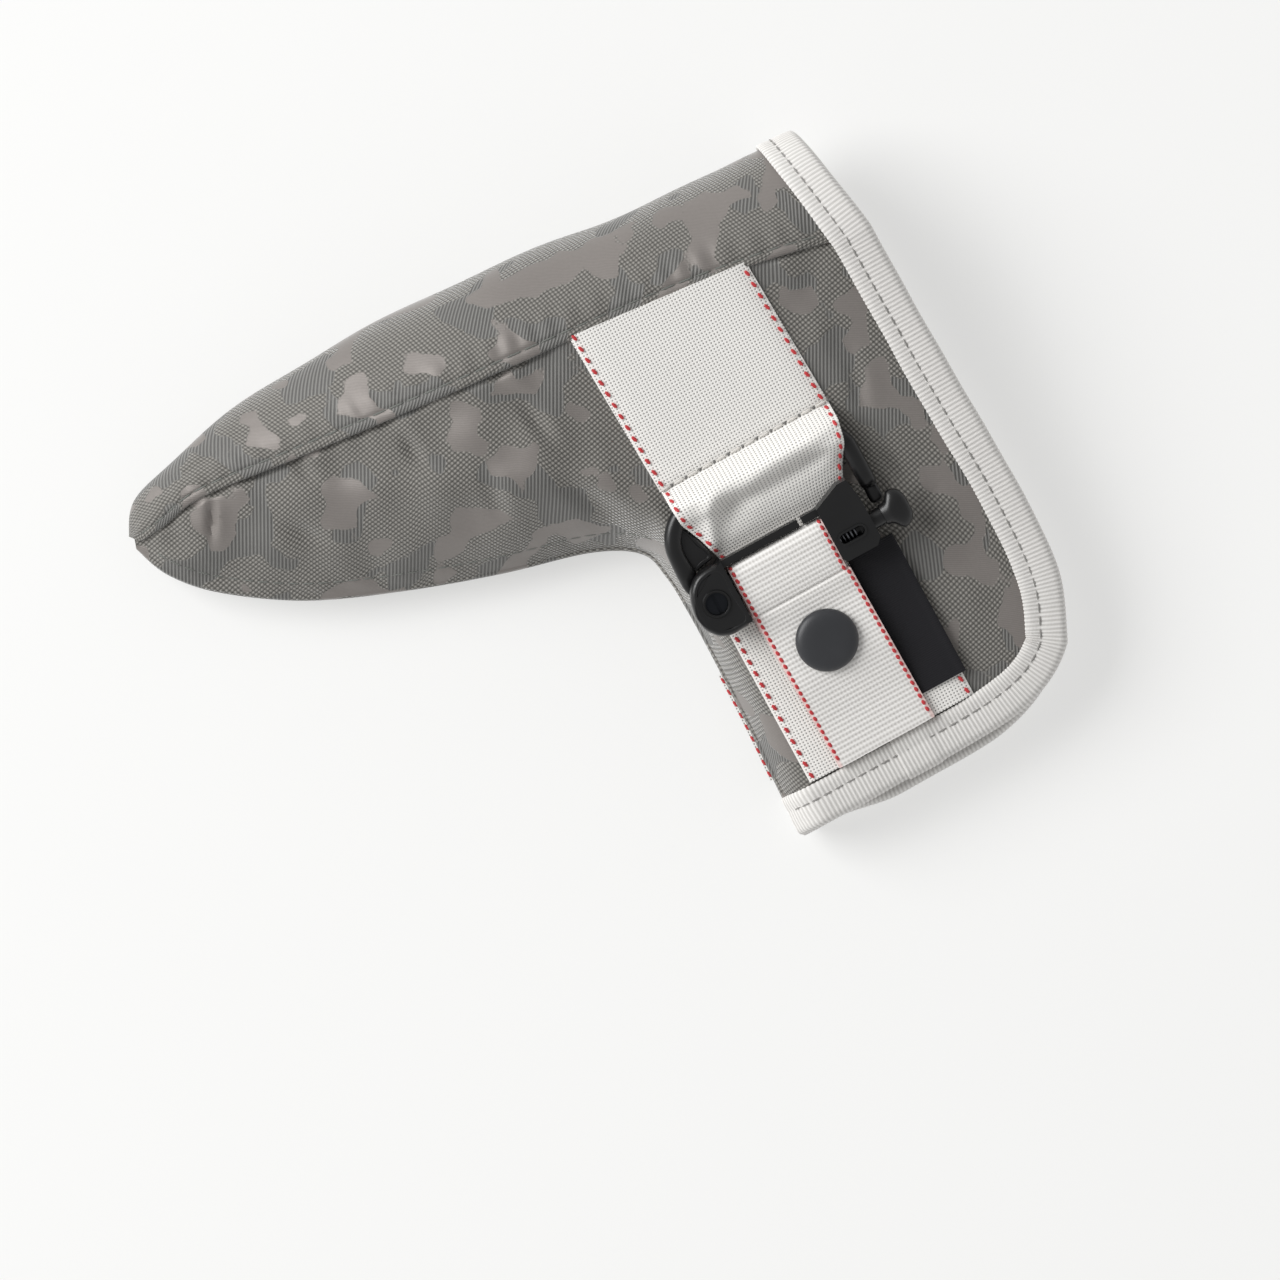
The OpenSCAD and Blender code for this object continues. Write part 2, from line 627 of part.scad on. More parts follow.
// Push button: shaft with a collar in the chamber, and a T head with a waist
head_x = right_end + button_travel + 1;
head_l = 6.1;
head_w = 10;
neck_w = 4.8;
collar_d = chamber_d - 2 * clear;
collar_t = 1.4;
module clip_button() {
    guide_d = collar_d - 2 * spring_wire - 2 * clear;
    color(plastic_colour) on_front() {
        translate([0, button_p, button_q]) {
            rod_x(chamber_to - collar_t - 1, chamber_to - collar_t / 2, guide_d);
            rod_x(chamber_to - collar_t / 2, head_x + 1, shaft_d);
            rod_x(chamber_to - collar_t - touch, chamber_to - touch, collar_d);
        }
        translate([head_x, button_p, bow_q + 0.8]) linear_extrude(ear_h - bow_q - 1.2)
            for (side = [-1, 1]) polygon([[0, -side], [0, side * neck_w / 2], [0.8, side * neck_w / 2],
                [1.5, side * (neck_w / 2 + 0.7)], [2, side * (head_w / 2 - 0.7)], [2.6, side * head_w / 2],
                [head_l - 2.4, side * head_w / 2], [head_l - 1, side * (head_w / 2 - 0.7)],
                [head_l, side * (head_w / 2 - 2.2)], [head_l, -side]]);
    }
}

// Coil spring behind the button's collar
spring_turns = 5;
spring_wire = 0.5;
spring_sides = 6;
module button_spring() {
    from = chamber_from + touch + spring_wire / 2;
    to = chamber_to - collar_t - 2 * touch - spring_wire / 2;
    r = collar_d / 2 - spring_wire / 2;
    rings = 8 * spring_turns;
    points = [for (k = [0 : rings]) for (j = [0 : spring_sides - 1])
        let (a = 360 * spring_turns * k / rings)
        let (b = 360 * j / spring_sides)
        let (w = r + spring_wire / 2 * cos(b))
        [mix(from, to, k / rings) + spring_wire / 2 * sin(b), w * cos(a), w * sin(a)]];
    n = spring_sides;
    walls = [for (k = [0 : rings - 1]) for (j = [0 : n - 1])
        let (a = k * n + j)
        let (b = k * n + (j + 1) % n)
        each [[a, b, b + n], [a, b + n, a + n]]];
    first_end = [for (j = [n - 1 : -1 : 0]) j];
    last_end = [for (j = [0 : n - 1]) rings * n + j];
    color(metal_colour) on_front() translate([0, button_p, button_q])
        polyhedron(points, concat([first_end], walls, [last_end]));
}

front_panel();
back_panel();
spine_gusset();
front_foam();
back_foam();
spine_foam();
front_lining();
back_lining();
spine_lining();
mouth_binding();
front_magnet();
back_magnet();
web_upper();
web_loop();
web_lower();
leg_seam_tape();
label_tab();
snap_stud();
snap_rivet();
snap_strap();
snap_cap();
snap_socket();
clip_frame();
clip_pivot_pin();
clip_bow();
clip_button();
button_spring();
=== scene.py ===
# %% [markdown]
# # A head cover for a blade putter
# The cover is an L-shaped padded sleeve of woven fabric. A ribbed tape binds its mouth, a wide webbing
# runs down the front, and a narrow strap with a snap carries a locking clip. It lies on its back panel
# and is seen straight from above.
#
# The imported model gives the fixed frame: every rigid part is already in its place and at its size. This
# lesson dresses it. First it loads the frame.

# %% Load the frame
import math

import bmesh
import bpy
import numpy as np
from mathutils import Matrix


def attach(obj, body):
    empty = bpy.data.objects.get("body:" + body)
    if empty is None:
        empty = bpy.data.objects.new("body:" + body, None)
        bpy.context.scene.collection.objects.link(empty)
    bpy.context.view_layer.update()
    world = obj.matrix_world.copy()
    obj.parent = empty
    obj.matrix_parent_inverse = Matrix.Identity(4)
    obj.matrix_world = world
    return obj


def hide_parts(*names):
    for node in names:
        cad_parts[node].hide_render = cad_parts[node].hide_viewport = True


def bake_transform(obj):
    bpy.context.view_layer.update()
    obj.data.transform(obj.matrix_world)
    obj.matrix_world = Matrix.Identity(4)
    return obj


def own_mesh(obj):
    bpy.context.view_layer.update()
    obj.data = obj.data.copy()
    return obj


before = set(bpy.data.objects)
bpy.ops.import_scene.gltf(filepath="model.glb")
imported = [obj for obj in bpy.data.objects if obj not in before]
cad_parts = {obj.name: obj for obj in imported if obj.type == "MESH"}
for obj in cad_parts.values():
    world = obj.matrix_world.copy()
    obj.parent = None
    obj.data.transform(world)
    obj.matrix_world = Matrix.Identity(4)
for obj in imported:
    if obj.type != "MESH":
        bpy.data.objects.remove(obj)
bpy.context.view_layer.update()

# %% [markdown]
# ## The cut pattern
# A sewn cover starts as a paper pattern. Three lines are enough here: the inner edge of the
# L, the outer edge (the spine seam, then the rim of the mouth) and the outline of the rounded spine. The
# numbers are millimetres on the table, from the toe tip to the mouth's lower edge. A smooth curve goes
# through the points, so a row of the surface is a straight walk from one edge to the other.

# %% The pattern's lines and the curve through them
MM = 0.001
MIDDLE = np.array([-8.2, 1.4, 0.0])
INNER_EDGE = np.array([
    [-103.6, 60.6], [-99.8, 51.5], [-91, 42], [-74, 30.6], [-53, 21.6], [-30, 13.8], [-9, 8],
    [1.6, 1.8], [4.2, -6], [4.8, -16], [4.8, -30], [4.4, -46], [3.6, -61], [3, -75]])
OUTER_EDGE = np.array([
    [-103, 62.2], [-95, 62.8], [-83.5, 64.4], [-61, 61.7], [-38, 59], [-13, 56.4], [11, 54.4],
    [40, 51.6], [64, 47.8], [84.2, 43], [84.9, 5], [86, -28], [84.6, -50], [78.8, -65]])
SPINE = np.array([
    [-104, 63.4], [-98.5, 70.6], [-86, 74.4], [-63, 78.6], [-38, 79.6], [-10, 78.8], [15, 76.5],
    [42, 73.2], [64, 72.2], [80, 71]])
HEEL = len(SPINE) - 1
LAST = len(INNER_EDGE) - 1


def clamp(t):
    """The value, held between 0 and 1."""
    return np.clip(t, 0.0, 1.0)


def smooth(t):
    """An S-shaped step from 0 to 1."""
    c = clamp(t)
    return c * c * (3 - 2 * c)


def mix(a, b, t):
    """The point a share t of the way from a to b."""
    return a + (b - a) * t


def hump(t, middle, width):
    """A bell that is 1 at its middle and fades over its width."""
    return np.exp(-((t - middle) / width) ** 2)


def stacked(*parts):
    """The parts, spread to one shape and set side by side as a last axis."""
    return np.stack(np.broadcast_arrays(*parts), -1)


def along(points, s, stop=-1):
    """Catmull-Rom curve: a cubic between neighbours, whose slope at a point is half the step from the
    point before it to the point after it. The curve has a corner at the point numbered stop."""
    s = np.asarray(s, float)
    last = len(points) - 1
    i = np.minimum(np.floor(s), last - 1).astype(int)
    t = (s - i)[..., None]
    a = points[np.where((i == 0) | (i == stop), i, i - 1)]
    b = points[i]
    c = points[i + 1]
    d = points[np.where((i + 1 == last) | (i + 1 == stop), i + 1, np.minimum(i + 2, last))]
    return (2 * b + (c - a) * t + (2 * a - 5 * b + 4 * c - d) * t**2 + (3 * b - a - 3 * c + d) * t**3) / 2


def outer_edge(s):
    """The outer edge's curve, with its corner at the heel."""
    return along(OUTER_EDGE, s, HEEL)


def span(s):
    """Width of a panel at a station, from the inner edge to the outer one."""
    return np.linalg.norm(outer_edge(s) - along(INNER_EDGE, s), axis=-1)


def spine_width(s):
    """How far the spine's outline lies beyond the outer edge."""
    return np.linalg.norm(along(SPINE, s) - outer_edge(s), axis=-1)


print("pattern lines of", len(INNER_EDGE), len(OUTER_EDGE), "and", len(SPINE), "points")

# %% [markdown]
# ## From pattern to padded form
# The front panel slopes up to the spine, the back lies flat on the table, and both draw together along
# the inner seam. Writing the height as a formula of the pattern's station `s` and the share `v` across
# it lets one pair of functions serve the fabric, the foam and the lining: they are the same surface at
# different depths, which is just how the real layers are quilted.

# %% Heights of the front, the back and the spine
FRONT_Z, FRONT_SLOPE, TOE_DROP = 19.0, math.radians(10), 0.55
SEAM_Z, SEAM_HALF = 9.0, 2.0
ARM_ROUND, LEG_ROUND = 26.0, 7.0
FABRIC_T, FOAM_T, LINING_T, TAPE_T, TAPE_W = 0.9, 2.0, 0.8, 0.9, 9.0
STACK_T = FABRIC_T + FOAM_T + LINING_T
TOUCH, CLEAR = 0.1, 0.3
BACK_PEEK = 2.4
CORNER_POWER = 7
HINGE_Y = INNER_EDGE[LAST][1] + TAPE_W + 0.2


def plan(s, v):
    """Straight from the inner edge to the outer one; y bends with a power of v that rounds the corner."""
    a, b = along(INNER_EDGE, s), outer_edge(s)
    power = 1 + CORNER_POWER * smooth((s - HEEL - 1) / (LAST - HEEL - 1))
    return np.stack([mix(a[..., 0], b[..., 0], v), mix(a[..., 1], b[..., 1], v**power)], -1)


def rise(s, v):
    """0 at the inner seam, then a quarter of a parabola up to 1 over the rounding width."""
    width = mix(ARM_ROUND, LEG_ROUND, smooth((s - 4) / 4.5))
    return 1 - (1 - clamp(v * span(s) / width)) ** 2


def z_front(s, v):
    """Seam height, rising to a plane that slopes up to the spine and falls away to the toe."""
    p = plan(s, v)
    toe = 1 - TOE_DROP * smooth(p[..., 0] / INNER_EDGE[0][0])
    level = (FRONT_Z + (p[..., 1] - HINGE_Y) * math.tan(FRONT_SLOPE)) * toe
    return mix(SEAM_Z + SEAM_HALF, level, rise(s, v))


def z_back(s, v):
    """Flat on the table, lifted at the inner seam and by the tape's thickness along the rim."""
    heel_rim = clamp((s - HEEL + 1) / 0.5) * clamp((v - 0.69) / 0.16)
    rim = np.maximum(heel_rim, clamp((s - LAST + 1.5) / 0.5))
    return np.maximum((SEAM_Z - SEAM_HALF) * (1 - rise(s, v)), (TAPE_T + CLEAR) * rim)


def keep(room):
    """Share of their thickness that the layers keep where there is little room."""
    return np.minimum(1, room / (STACK_T + TAPE_T + 3 * CLEAR))


def panel_at(s, v, depth=0.0, back=False):
    """A point under the front's or the back's outer face, at a depth that thins towards the seam. The
    back's lower rim lies a little further out than the front's."""
    s, v = np.broadcast_arrays(s, v)
    top, bottom = z_front(s, v), z_back(s, v)
    step = depth * keep((top - bottom) / 2)
    out = BACK_PEEK * smooth((s - LAST + 1.6) / 1.4) * smooth((v - 0.08) / 0.25) * smooth((0.95 - v) / 0.3)
    place = plan(s, v) - np.stack([0 * out, out * back], -1)
    return np.concatenate([place, (bottom + step if back else top - step)[..., None]], -1)


def spine_at(s, turn, depth=0.0):
    """Half an ellipse from the front's seam (turn 90) over the spine's outline (0) to the back's (-90)."""
    s, turn = np.broadcast_arrays(s, np.radians(turn))
    seam = outer_edge(s)
    out = along(SPINE, s) - seam
    width = spine_width(s)
    one = np.ones_like(s)
    low = z_back(s, one)
    half = (z_front(s, one) - low) / 2
    step = depth * keep(np.minimum(half, width))
    reach = ((width - step) * np.cos(turn) / width)[..., None]
    return np.concatenate([seam + out * reach, (low + half + (half - step) * np.sin(turn))[..., None]], -1)


print("front rim height", round(float(z_front(np.array(12.0), np.array(0.5))), 1), "mm")

# %% [markdown]
# ## From arrays to meshes
# A grid of points becomes a mesh without a loop over its vertices: the corner numbers of all the faces
# are worked out at once, and `foreach_set` hands whole arrays to Blender. A wall has an outer and an
# inner grid joined along the border. Which way round the faces go is settled by the sign of the
# enclosed volume, so every closed piece points outwards.

# %% Grids, skins and shells
def quads(rows, cols, wrap=False):
    """Corner numbers of a grid's faces, row by row; wrap joins the last column to the first."""
    number = np.arange(rows * cols).reshape(rows, cols)
    if wrap:
        number = np.concatenate([number, number[:, :1]], 1)
    return np.stack([number[:-1, :-1], number[:-1, 1:], number[1:, 1:], number[1:, :-1]], -1).reshape(-1, 4)


def skin(rings, sides, tube=False):
    """Faces through rings of points: lids of quads close both ends, or a tube closes on itself."""
    if tube:
        return quads(rings + 1, sides, wrap=True) % (rings * sides)
    k = np.arange(sides // 2 - 1)
    lid = np.stack([k, k + 1, sides - 2 - k, sides - 1 - k], -1)
    return np.concatenate([quads(rings, sides, wrap=True), lid[:, ::-1], lid + (rings - 1) * sides])


def outwards(points, faces):
    """The faces, turned over if the volume that they enclose comes out negative."""
    a, b, c, d = np.moveaxis(points[faces], 1, 0)
    volume = np.sum(np.cross(b - a, c - a) * a) + np.sum(np.cross(c - a, d - a) * a)
    return faces[:, ::-1] if volume < 0 else faces


def piece(name, points, faces, uv=None, sharp=40):
    """A mesh object from points in pattern millimetres, faces of 4 corners each, and UVs in metres."""
    points = np.asarray(points, float).reshape(-1, 3)
    faces = outwards(points, faces)
    mesh = bpy.data.meshes.new(name)
    mesh.vertices.add(len(points))
    mesh.vertices.foreach_set("co", ((points - MIDDLE) * MM).astype(np.float32).ravel())
    mesh.loops.add(faces.size)
    mesh.loops.foreach_set("vertex_index", np.ascontiguousarray(faces, np.int32).ravel())
    mesh.polygons.add(len(faces))
    mesh.polygons.foreach_set("loop_start", np.arange(0, faces.size, faces.shape[1], dtype=np.int32))
    mesh.update(calc_edges=True)
    if uv is not None:
        layer = mesh.uv_layers.new(name="cloth")
        layer.data.foreach_set("uv", np.asarray(uv, np.float32).reshape(-1, 2)[faces.ravel()].ravel())
    mesh.polygons.foreach_set("use_smooth", np.ones(len(faces), bool))
    mesh.set_sharp_from_angle(angle=math.radians(sharp))
    made = bpy.data.objects.new(name, mesh)
    bpy.context.scene.collection.objects.link(made)
    print(name, len(points), "points", len(faces), "faces")
    return made


def shell(name, outer, inner, uv=None, sharp=40):
    """A wall between two grids of the same size, closed round its border."""
    rows, cols = outer.shape[:2]
    n = rows * cols
    face = quads(rows, cols)
    number = np.arange(n).reshape(rows, cols)
    border = np.concatenate([number[0, :-1], number[:-1, -1], number[-1, :0:-1], number[:0:-1, 0]])
    after = np.roll(border, -1)
    edge = np.stack([after, border, border + n, after + n], -1)
    both = np.concatenate([outer.reshape(-1, 3), inner.reshape(-1, 3)])
    uvs = None if uv is None else np.concatenate([uv.reshape(-1, 2)] * 2)
    return piece(name, both, np.concatenate([face, face[:, ::-1] + n, edge]), uvs, sharp)


def unit(v):
    """The same direction, one long."""
    return v / np.maximum(np.linalg.norm(v, axis=-1, keepdims=True), 1e-9)


def lengths(points):
    """Distance walked along a line of points, from its start."""
    steps = np.linalg.norm(np.diff(points, axis=0), axis=-1)
    return np.concatenate([[0.0], np.cumsum(steps)])


def sampled(columns, walk, at):
    """Columns of values known along a walk, read off at other distances."""
    return np.stack([np.interp(at, walk, column) for column in columns.T], -1)


def even(points, step):
    """The same line, with points a steady step apart."""
    walk = lengths(points)
    return sampled(points, walk, np.linspace(0, walk[-1], max(2, int(round(walk[-1] / step)) + 1)))


print("mesh helpers ready")

# %% [markdown]
# ## Shader sums in plain Python
# A finish is a small sum: so much of this thread's colour, so much of that one, and a height for the
# bump. Wiring Math nodes by hand hides the sum, so a tiny class wraps a socket and gives it the usual
# signs. `1 - mask * 0.5` then adds the nodes by itself. Any other node comes from one method that takes
# its type, its settings and its inputs.

# %% A socket that knows arithmetic, and a finish that holds its nodes
class Wire:
    """A socket in a material; adding, multiplying and so on make Math nodes."""

    def __init__(self, finish, socket):
        self.finish = finish
        self.socket = socket

    def sum(self, operation, *others):
        """A Math node of that operation on this value and the others."""
        inputs = dict(enumerate([self, *others]))
        return self.finish.node("ShaderNodeMath", {"operation": operation}, inputs)[0]

    def __add__(self, other):
        return self.sum("ADD", other)

    def __radd__(self, other):
        return self.sum("ADD", other)

    def __mul__(self, other):
        return self.sum("MULTIPLY", other)

    def __rmul__(self, other):
        return self.sum("MULTIPLY", other)

    def __sub__(self, other):
        return self.sum("SUBTRACT", other)

    def __rsub__(self, other):
        return self.finish.node("ShaderNodeMath", {"operation": "SUBTRACT"}, {0: other, 1: self})[0]

    def __truediv__(self, other):
        return self.sum("DIVIDE", other)

    def wave(self, pitch):
        """A smooth wave from 0 to 1 that repeats every pitch."""
        return (self * (2 * math.pi / pitch)).sum("COSINE") * 0.5 + 0.5

    def step(self, low, high):
        """An S-shaped step from 0 at low to 1 at high."""
        settings = {"interpolation_type": "SMOOTHSTEP"}
        return self.finish.node("ShaderNodeMapRange", settings, {0: self, 1: low, 2: high})[0]


class Finish:
    """A material and its nodes, ending in one Principled shader."""

    def __init__(self, name, colour, roughness, **constants):
        self.material = bpy.data.materials.new(name)
        self.material.use_nodes = True
        self.tree = self.material.node_tree
        self.shader = self.tree.nodes["Principled BSDF"]
        self.shader.inputs["Base Color"].default_value = (*colour, 1)
        self.shader.inputs["Roughness"].default_value = roughness
        for key, value in constants.items():
            self.shader.inputs[key.replace("_", " ").title().replace("Ior", "IOR")].default_value = value

    def node(self, kind, settings=None, inputs=None):
        """A node of that type with its settings and its inputs, values or wires; returns its outputs."""
        made = self.tree.nodes.new(kind)
        for key, value in (settings or {}).items():
            setattr(made, key, value)
        for key, value in (inputs or {}).items():
            if isinstance(value, Wire):
                self.tree.links.new(value.socket, made.inputs[key])
            else:
                made.inputs[key].default_value = value
        return [Wire(self, out) for out in made.outputs if out.enabled]

    def place(self, of="UV"):
        """The piece's UV map, or its Object coordinates, in millimetres: a vector, then its parts."""
        coordinates = self.node("ShaderNodeTexCoord")[2 if of == "UV" else 3]
        inputs = {0: coordinates, "Scale": 1 / MM}
        scaled = self.node("ShaderNodeVectorMath", {"operation": "SCALE"}, inputs)[0]
        return [scaled, *self.node("ShaderNodeSeparateXYZ", {}, {0: scaled})]

    def noise(self, vector, size, detail=2.0, rough=0.5):
        """Soft noise from 0 to 1 whose blotches are about that many millimetres wide."""
        inputs = {"Vector": vector, "Scale": 1 / size, "Detail": detail, "Roughness": rough}
        return self.node("ShaderNodeTexNoise", {}, inputs)[0]

    def blend(self, share, a, b):
        """A colour that goes from a to b with the share."""
        ends = {6: a if isinstance(a, Wire) else (*a, 1), 7: b if isinstance(b, Wire) else (*b, 1)}
        return self.node("ShaderNodeMix", {"data_type": "RGBA"}, {0: share, **ends})[0]

    def drive(self, socket, wire):
        """Lets a wire set one of the shader's sockets."""
        self.tree.links.new(wire.socket, self.shader.inputs[socket])

    def bump(self, height, depth, strength=1.0):
        """Turns a height from 0 to 1 into shading, at a depth in millimetres."""
        inputs = {"Height": height, "Distance": depth * MM, "Strength": strength}
        self.drive("Normal", self.node("ShaderNodeBump", {}, inputs)[0])


def dress(made, finish, body="cover", replaces=()):
    """Gives a piece its finish, the body it rides on and the nodes it replaces."""
    made.data.materials.clear()
    made.data.materials.append(finish.material)
    if body:
        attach(made, body)
    if replaces:
        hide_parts(*replaces)


def linear(*rgb):
    """Colour as it reads on screen, 0 to 255, turned into the linear values that a shader takes."""
    c = np.array(rgb) / 255
    return tuple(float(x) for x in np.where(c <= 0.04045, c / 12.92, ((c + 0.055) / 1.055) ** 2.4))


print("shader helpers ready")

# %% [markdown]
# ## Woven outer fabric
# The cover's cloth is a jacquard: one loom weaves several textures side by side. The ground is a coarse
# basket weave that glints dot by dot, some spots are smooth satin, and others are fine ribs. Two soft
# noises, cut at a level, say where the satin and the ribs go, and each texture brings its own colour
# and height. The weave follows the flattened pattern in the UV map, so it bends with the panels.

# %% Finish of the outer fabric
def outer_fabric():
    """Ground of staggered dots; satin and rib spots where two noises pass a level."""
    f = Finish("outer_fabric", linear(108, 107, 104), 0.78, sheen_weight=0.7, sheen_roughness=0.35)
    vector, u, v, _ = f.place()
    across, grain = u * 0.88 - v * 0.48, u * 0.48 + v * 0.88
    dots = across.wave(1.4) * grain.wave(1.25)
    dots = dots.sum("MAXIMUM", (across + 0.7).wave(1.4) * (grain + 0.625).wave(1.25))
    ribs = across.wave(0.86)
    satin_ribs = grain.wave(0.42)
    wobble = f.noise(vector, 5.0, 2.0) * 0.16
    satin = (f.noise(vector, 13.0, 1.0, 0.35) + wobble).step(0.645, 0.665)
    shifted = f.node("ShaderNodeVectorMath", {"operation": "ADD"}, {0: vector, 1: (410.0, 230.0, 90.0)})[0]
    twill = (f.noise(shifted, 15.0, 1.0, 0.35) + wobble).step(0.635, 0.655) * (1 - satin)
    fleck = f.noise(vector, 0.9, 3.0, 0.7)
    ground = f.blend(dots * 0.9 + fleck * 0.2, linear(54, 52, 49), linear(154, 151, 145))
    rib_tone = f.blend(ribs * 0.8 + fleck * 0.2, linear(76, 75, 73), linear(134, 133, 130))
    satin_tone = f.blend(satin_ribs * 0.4 + fleck * 0.4, linear(121, 116, 112), linear(146, 140, 136))
    cloth = f.blend(satin, f.blend(twill, ground, rib_tone), satin_tone)
    worn = f.noise(vector, 40.0, 2.0)
    shade = f.blend(worn, (0.92, 0.92, 0.92), (1.06, 1.06, 1.06))
    multiply = {"data_type": "RGBA", "blend_type": "MULTIPLY"}
    f.drive("Base Color", f.node("ShaderNodeMix", multiply, {0: 1.0, 6: cloth, 7: shade})[0])
    f.drive("Roughness", 0.76 - satin * 0.2 - twill * 0.12)
    f.drive("Metallic", satin * 0.32 + twill * 0.15)
    plain = dots * (1 - satin) * (1 - twill)
    f.bump(plain + ribs * twill * 0.5 + satin * (satin_ribs * 0.06 + 0.4) + fleck * 0.1, 0.3, 0.9)
    return f


FABRIC = outer_fabric()
print("outer fabric", len(FABRIC.tree.nodes), "nodes")

# %% [markdown]
# ## Front and back panels
# Each panel is a wall as thick as the cloth. Real cloth over foam is never quite still: it ripples
# softly and puckers where a seam gathers it. A few sine waves of different lengths do that, faded out
# where the webbing and the tape hold the cloth down. At the inner edge both cloths turn in and meet in
# a closed seam. The UV map is the panel unrolled row by row from its outer edge, so that the weave keeps
# its size on the rounded sides.

# %% Ripples, dents and puckers
WEB_HOLD = (8.0, 58.0)
HOLD_FADE = 6.0
RIPPLE, CRUMPLE, PUCKER, GATHER, TOE_FOLD, SEAM_GROOVE = 0.8, 0.4, 0.5, 0.4, 0.45, 0.8
# Each dent: x, y, heading in degrees, half length, half width, depth.
DENTS = [[-34, 49, -84, 4.4, 1.9, 1.5], [-5, 40, -80, 6, 2.2, 1.8], [-84, 57, -120, 5, 1.3, 1.4],
         [-59, 57, -75, 3.5, 1.8, 1.1], [-3, 20, -60, 7, 3, 1.5], [-22, 30, -100, 6, 2.6, 1.1],
         [-66, 44, -50, 5.5, 2.4, 1.1], [64, -9, -70, 5, 2, 1.3], [68, -19, 10, 6, 2, 1.3],
         [66, 12, -110, 7, 2.4, 1.2]]


def ripple(x, y):
    """Three sine waves, 26 to 50 mm long, that run in different directions."""
    first = np.sin(x / 9.7 + y / 14.1)
    second = np.sin(x / 5.3 - y / 6.9 + 1.7)
    third = np.sin(y / 4.6 + x / 21 + 0.4)
    return (first + second * 0.6 + third * 0.5) / 2.1


def free_cloth(x, s, v):
    """1 on free cloth, 0 under the webbing and along the bound rim."""
    web = smooth((x - WEB_HOLD[0]) / HOLD_FADE + 1) * smooth((WEB_HOLD[1] - x) / HOLD_FADE + 1)
    heel_rim = smooth((s - HEEL + 0.6) / 0.4) * smooth((v - 0.72) / 0.12)
    rim = np.maximum(smooth((s - LAST + 1.9) / 0.7), heel_rim)
    return (1 - web) * (1 - rim)


def dents(x, y):
    """Long dimples: each is a bell over its length and width, tipped up along one side."""
    total = 0 * x
    for cx, cy, heading, length, width, depth in DENTS:
        c, d = math.cos(math.radians(heading)), math.sin(math.radians(heading))
        a, b = ((x - cx) * c + (y - cy) * d) / length, ((y - cy) * c - (x - cx) * d) / width
        total = total + depth * (b - 1) * np.exp(-a * a - b * b)
    return total


def front_wrinkle(s, v):
    """Ripples, dents, puckers that fade away from the seams, and folds at the drawn-in toe tip."""
    p = plan(s, v)
    x, y = p[..., 0], p[..., 1]
    seam = np.linalg.norm(p - outer_edge(s), axis=-1)
    inner = np.linalg.norm(p - along(INNER_EDGE, s), axis=-1)
    pucker = np.sin(x / 1.35 + 1.4 * np.sin(x / 7)) * np.exp(-seam / 5) * smooth(seam / 1.5)
    gather = np.sin(x / 1.7 + 1.1 * np.sin(x / 9)) * np.exp(-inner / 4) * smooth(inner / 2)
    toe = np.sin(y / 1.6 + x / 3.1) * smooth((-82 - x) / 14)
    groove = hump(seam, 2.0, 0.8)
    crumple = np.sin(x / 2.9 + y / 5.3) * np.sin(y / 3.9 - x / 9.1 + 0.8)
    crumple = crumple + 0.7 * np.sin(x / 4.3 - y / 3.1 + 2)
    large = RIPPLE * ripple(x, y) * smooth(inner / 4)
    large = large + (CRUMPLE * crumple + dents(x, y)) * smooth(seam / 4) * smooth(inner / 5)
    sewn = (PUCKER * pucker - SEAM_GROOVE * groove) * (s < HEEL)
    edges = GATHER * gather + TOE_FOLD * toe * smooth(inner / 3)
    return free_cloth(x, s, v) * smooth(s / 0.8) * (large + sewn + edges)


print(len(DENTS), "dents in the front")

# %% Unrolling and turning in
def walk_across(points):
    """Distance walked along each row of a grid, from its first column."""
    steps = np.linalg.norm(np.diff(points, axis=1), axis=-1)
    return np.concatenate([np.zeros((len(points), 1)), np.cumsum(steps, 1)], 1)


def unrolled(points):
    """Each row laid out straight in plan from its outer end, at its true length; in metres."""
    walk = walk_across(points[:, ::-1])[:, ::-1]
    out = points[:, -1:, :2]
    heading = unit(points[:, :1, :2] - out)
    return (out + heading * walk[..., None]) * MM


def panel_grid(per_stretch, across):
    """Stations as a column and shares as a row, closer together near both edges."""
    s = np.linspace(0, LAST, LAST * per_stretch + 1)[:, None]
    return s, (1 - np.cos(np.linspace(0, math.pi, across + 1)))[None, :] / 2


def turned_in(points, bulge):
    """Adds columns that carry the cloth round its inner edge: out by bulge * cos(a), while its height
    goes from the seam's middle to the edge as sin(a). The first column is drawn in a little, as sewn."""
    edge = points[:, :1]
    out = unit((edge[1:] - points[1:, 1:2]) * np.array([1.0, 1.0, 0.0]))
    out = np.concatenate([out[:1], out])
    a = np.radians([0, 12, 30, 50, 70])[None, :, None]
    pull = np.where(a > 0, bulge * np.cos(a), bulge - 0.3)
    z = SEAM_Z + (edge[..., 2:] - SEAM_Z) * np.sin(a)
    return np.concatenate([np.concatenate([(edge + out * pull)[..., :2], z], -1), points], 1)


print("seam at", SEAM_Z, "mm over the table")

# %% The two panels
ROWS_A_STRETCH, PANEL_COLUMNS = 22, 96
SEAM_BULGE, UNDER_BULGE = 0.9, 0.6
UP = np.array([0, 0, 1.0])
s, v = panel_grid(ROWS_A_STRETCH, PANEL_COLUMNS)
lift = front_wrinkle(*np.broadcast_arrays(s, v))[..., None] * UP
front = turned_in(panel_at(s, v) + lift, SEAM_BULGE)
under = turned_in(panel_at(s, v, FABRIC_T) + lift, UNDER_BULGE)
front_panel = shell("front_panel_cloth", front, under, unrolled(front))
dress(front_panel, FABRIC, replaces=["front_panel"])
back = turned_in(panel_at(s, v, 0, True), SEAM_BULGE)
under = turned_in(panel_at(s, v, FABRIC_T, True), UNDER_BULGE)
back_panel = shell("back_panel_cloth", back, under, unrolled(back))
dress(back_panel, FABRIC, replaces=["back_panel"])

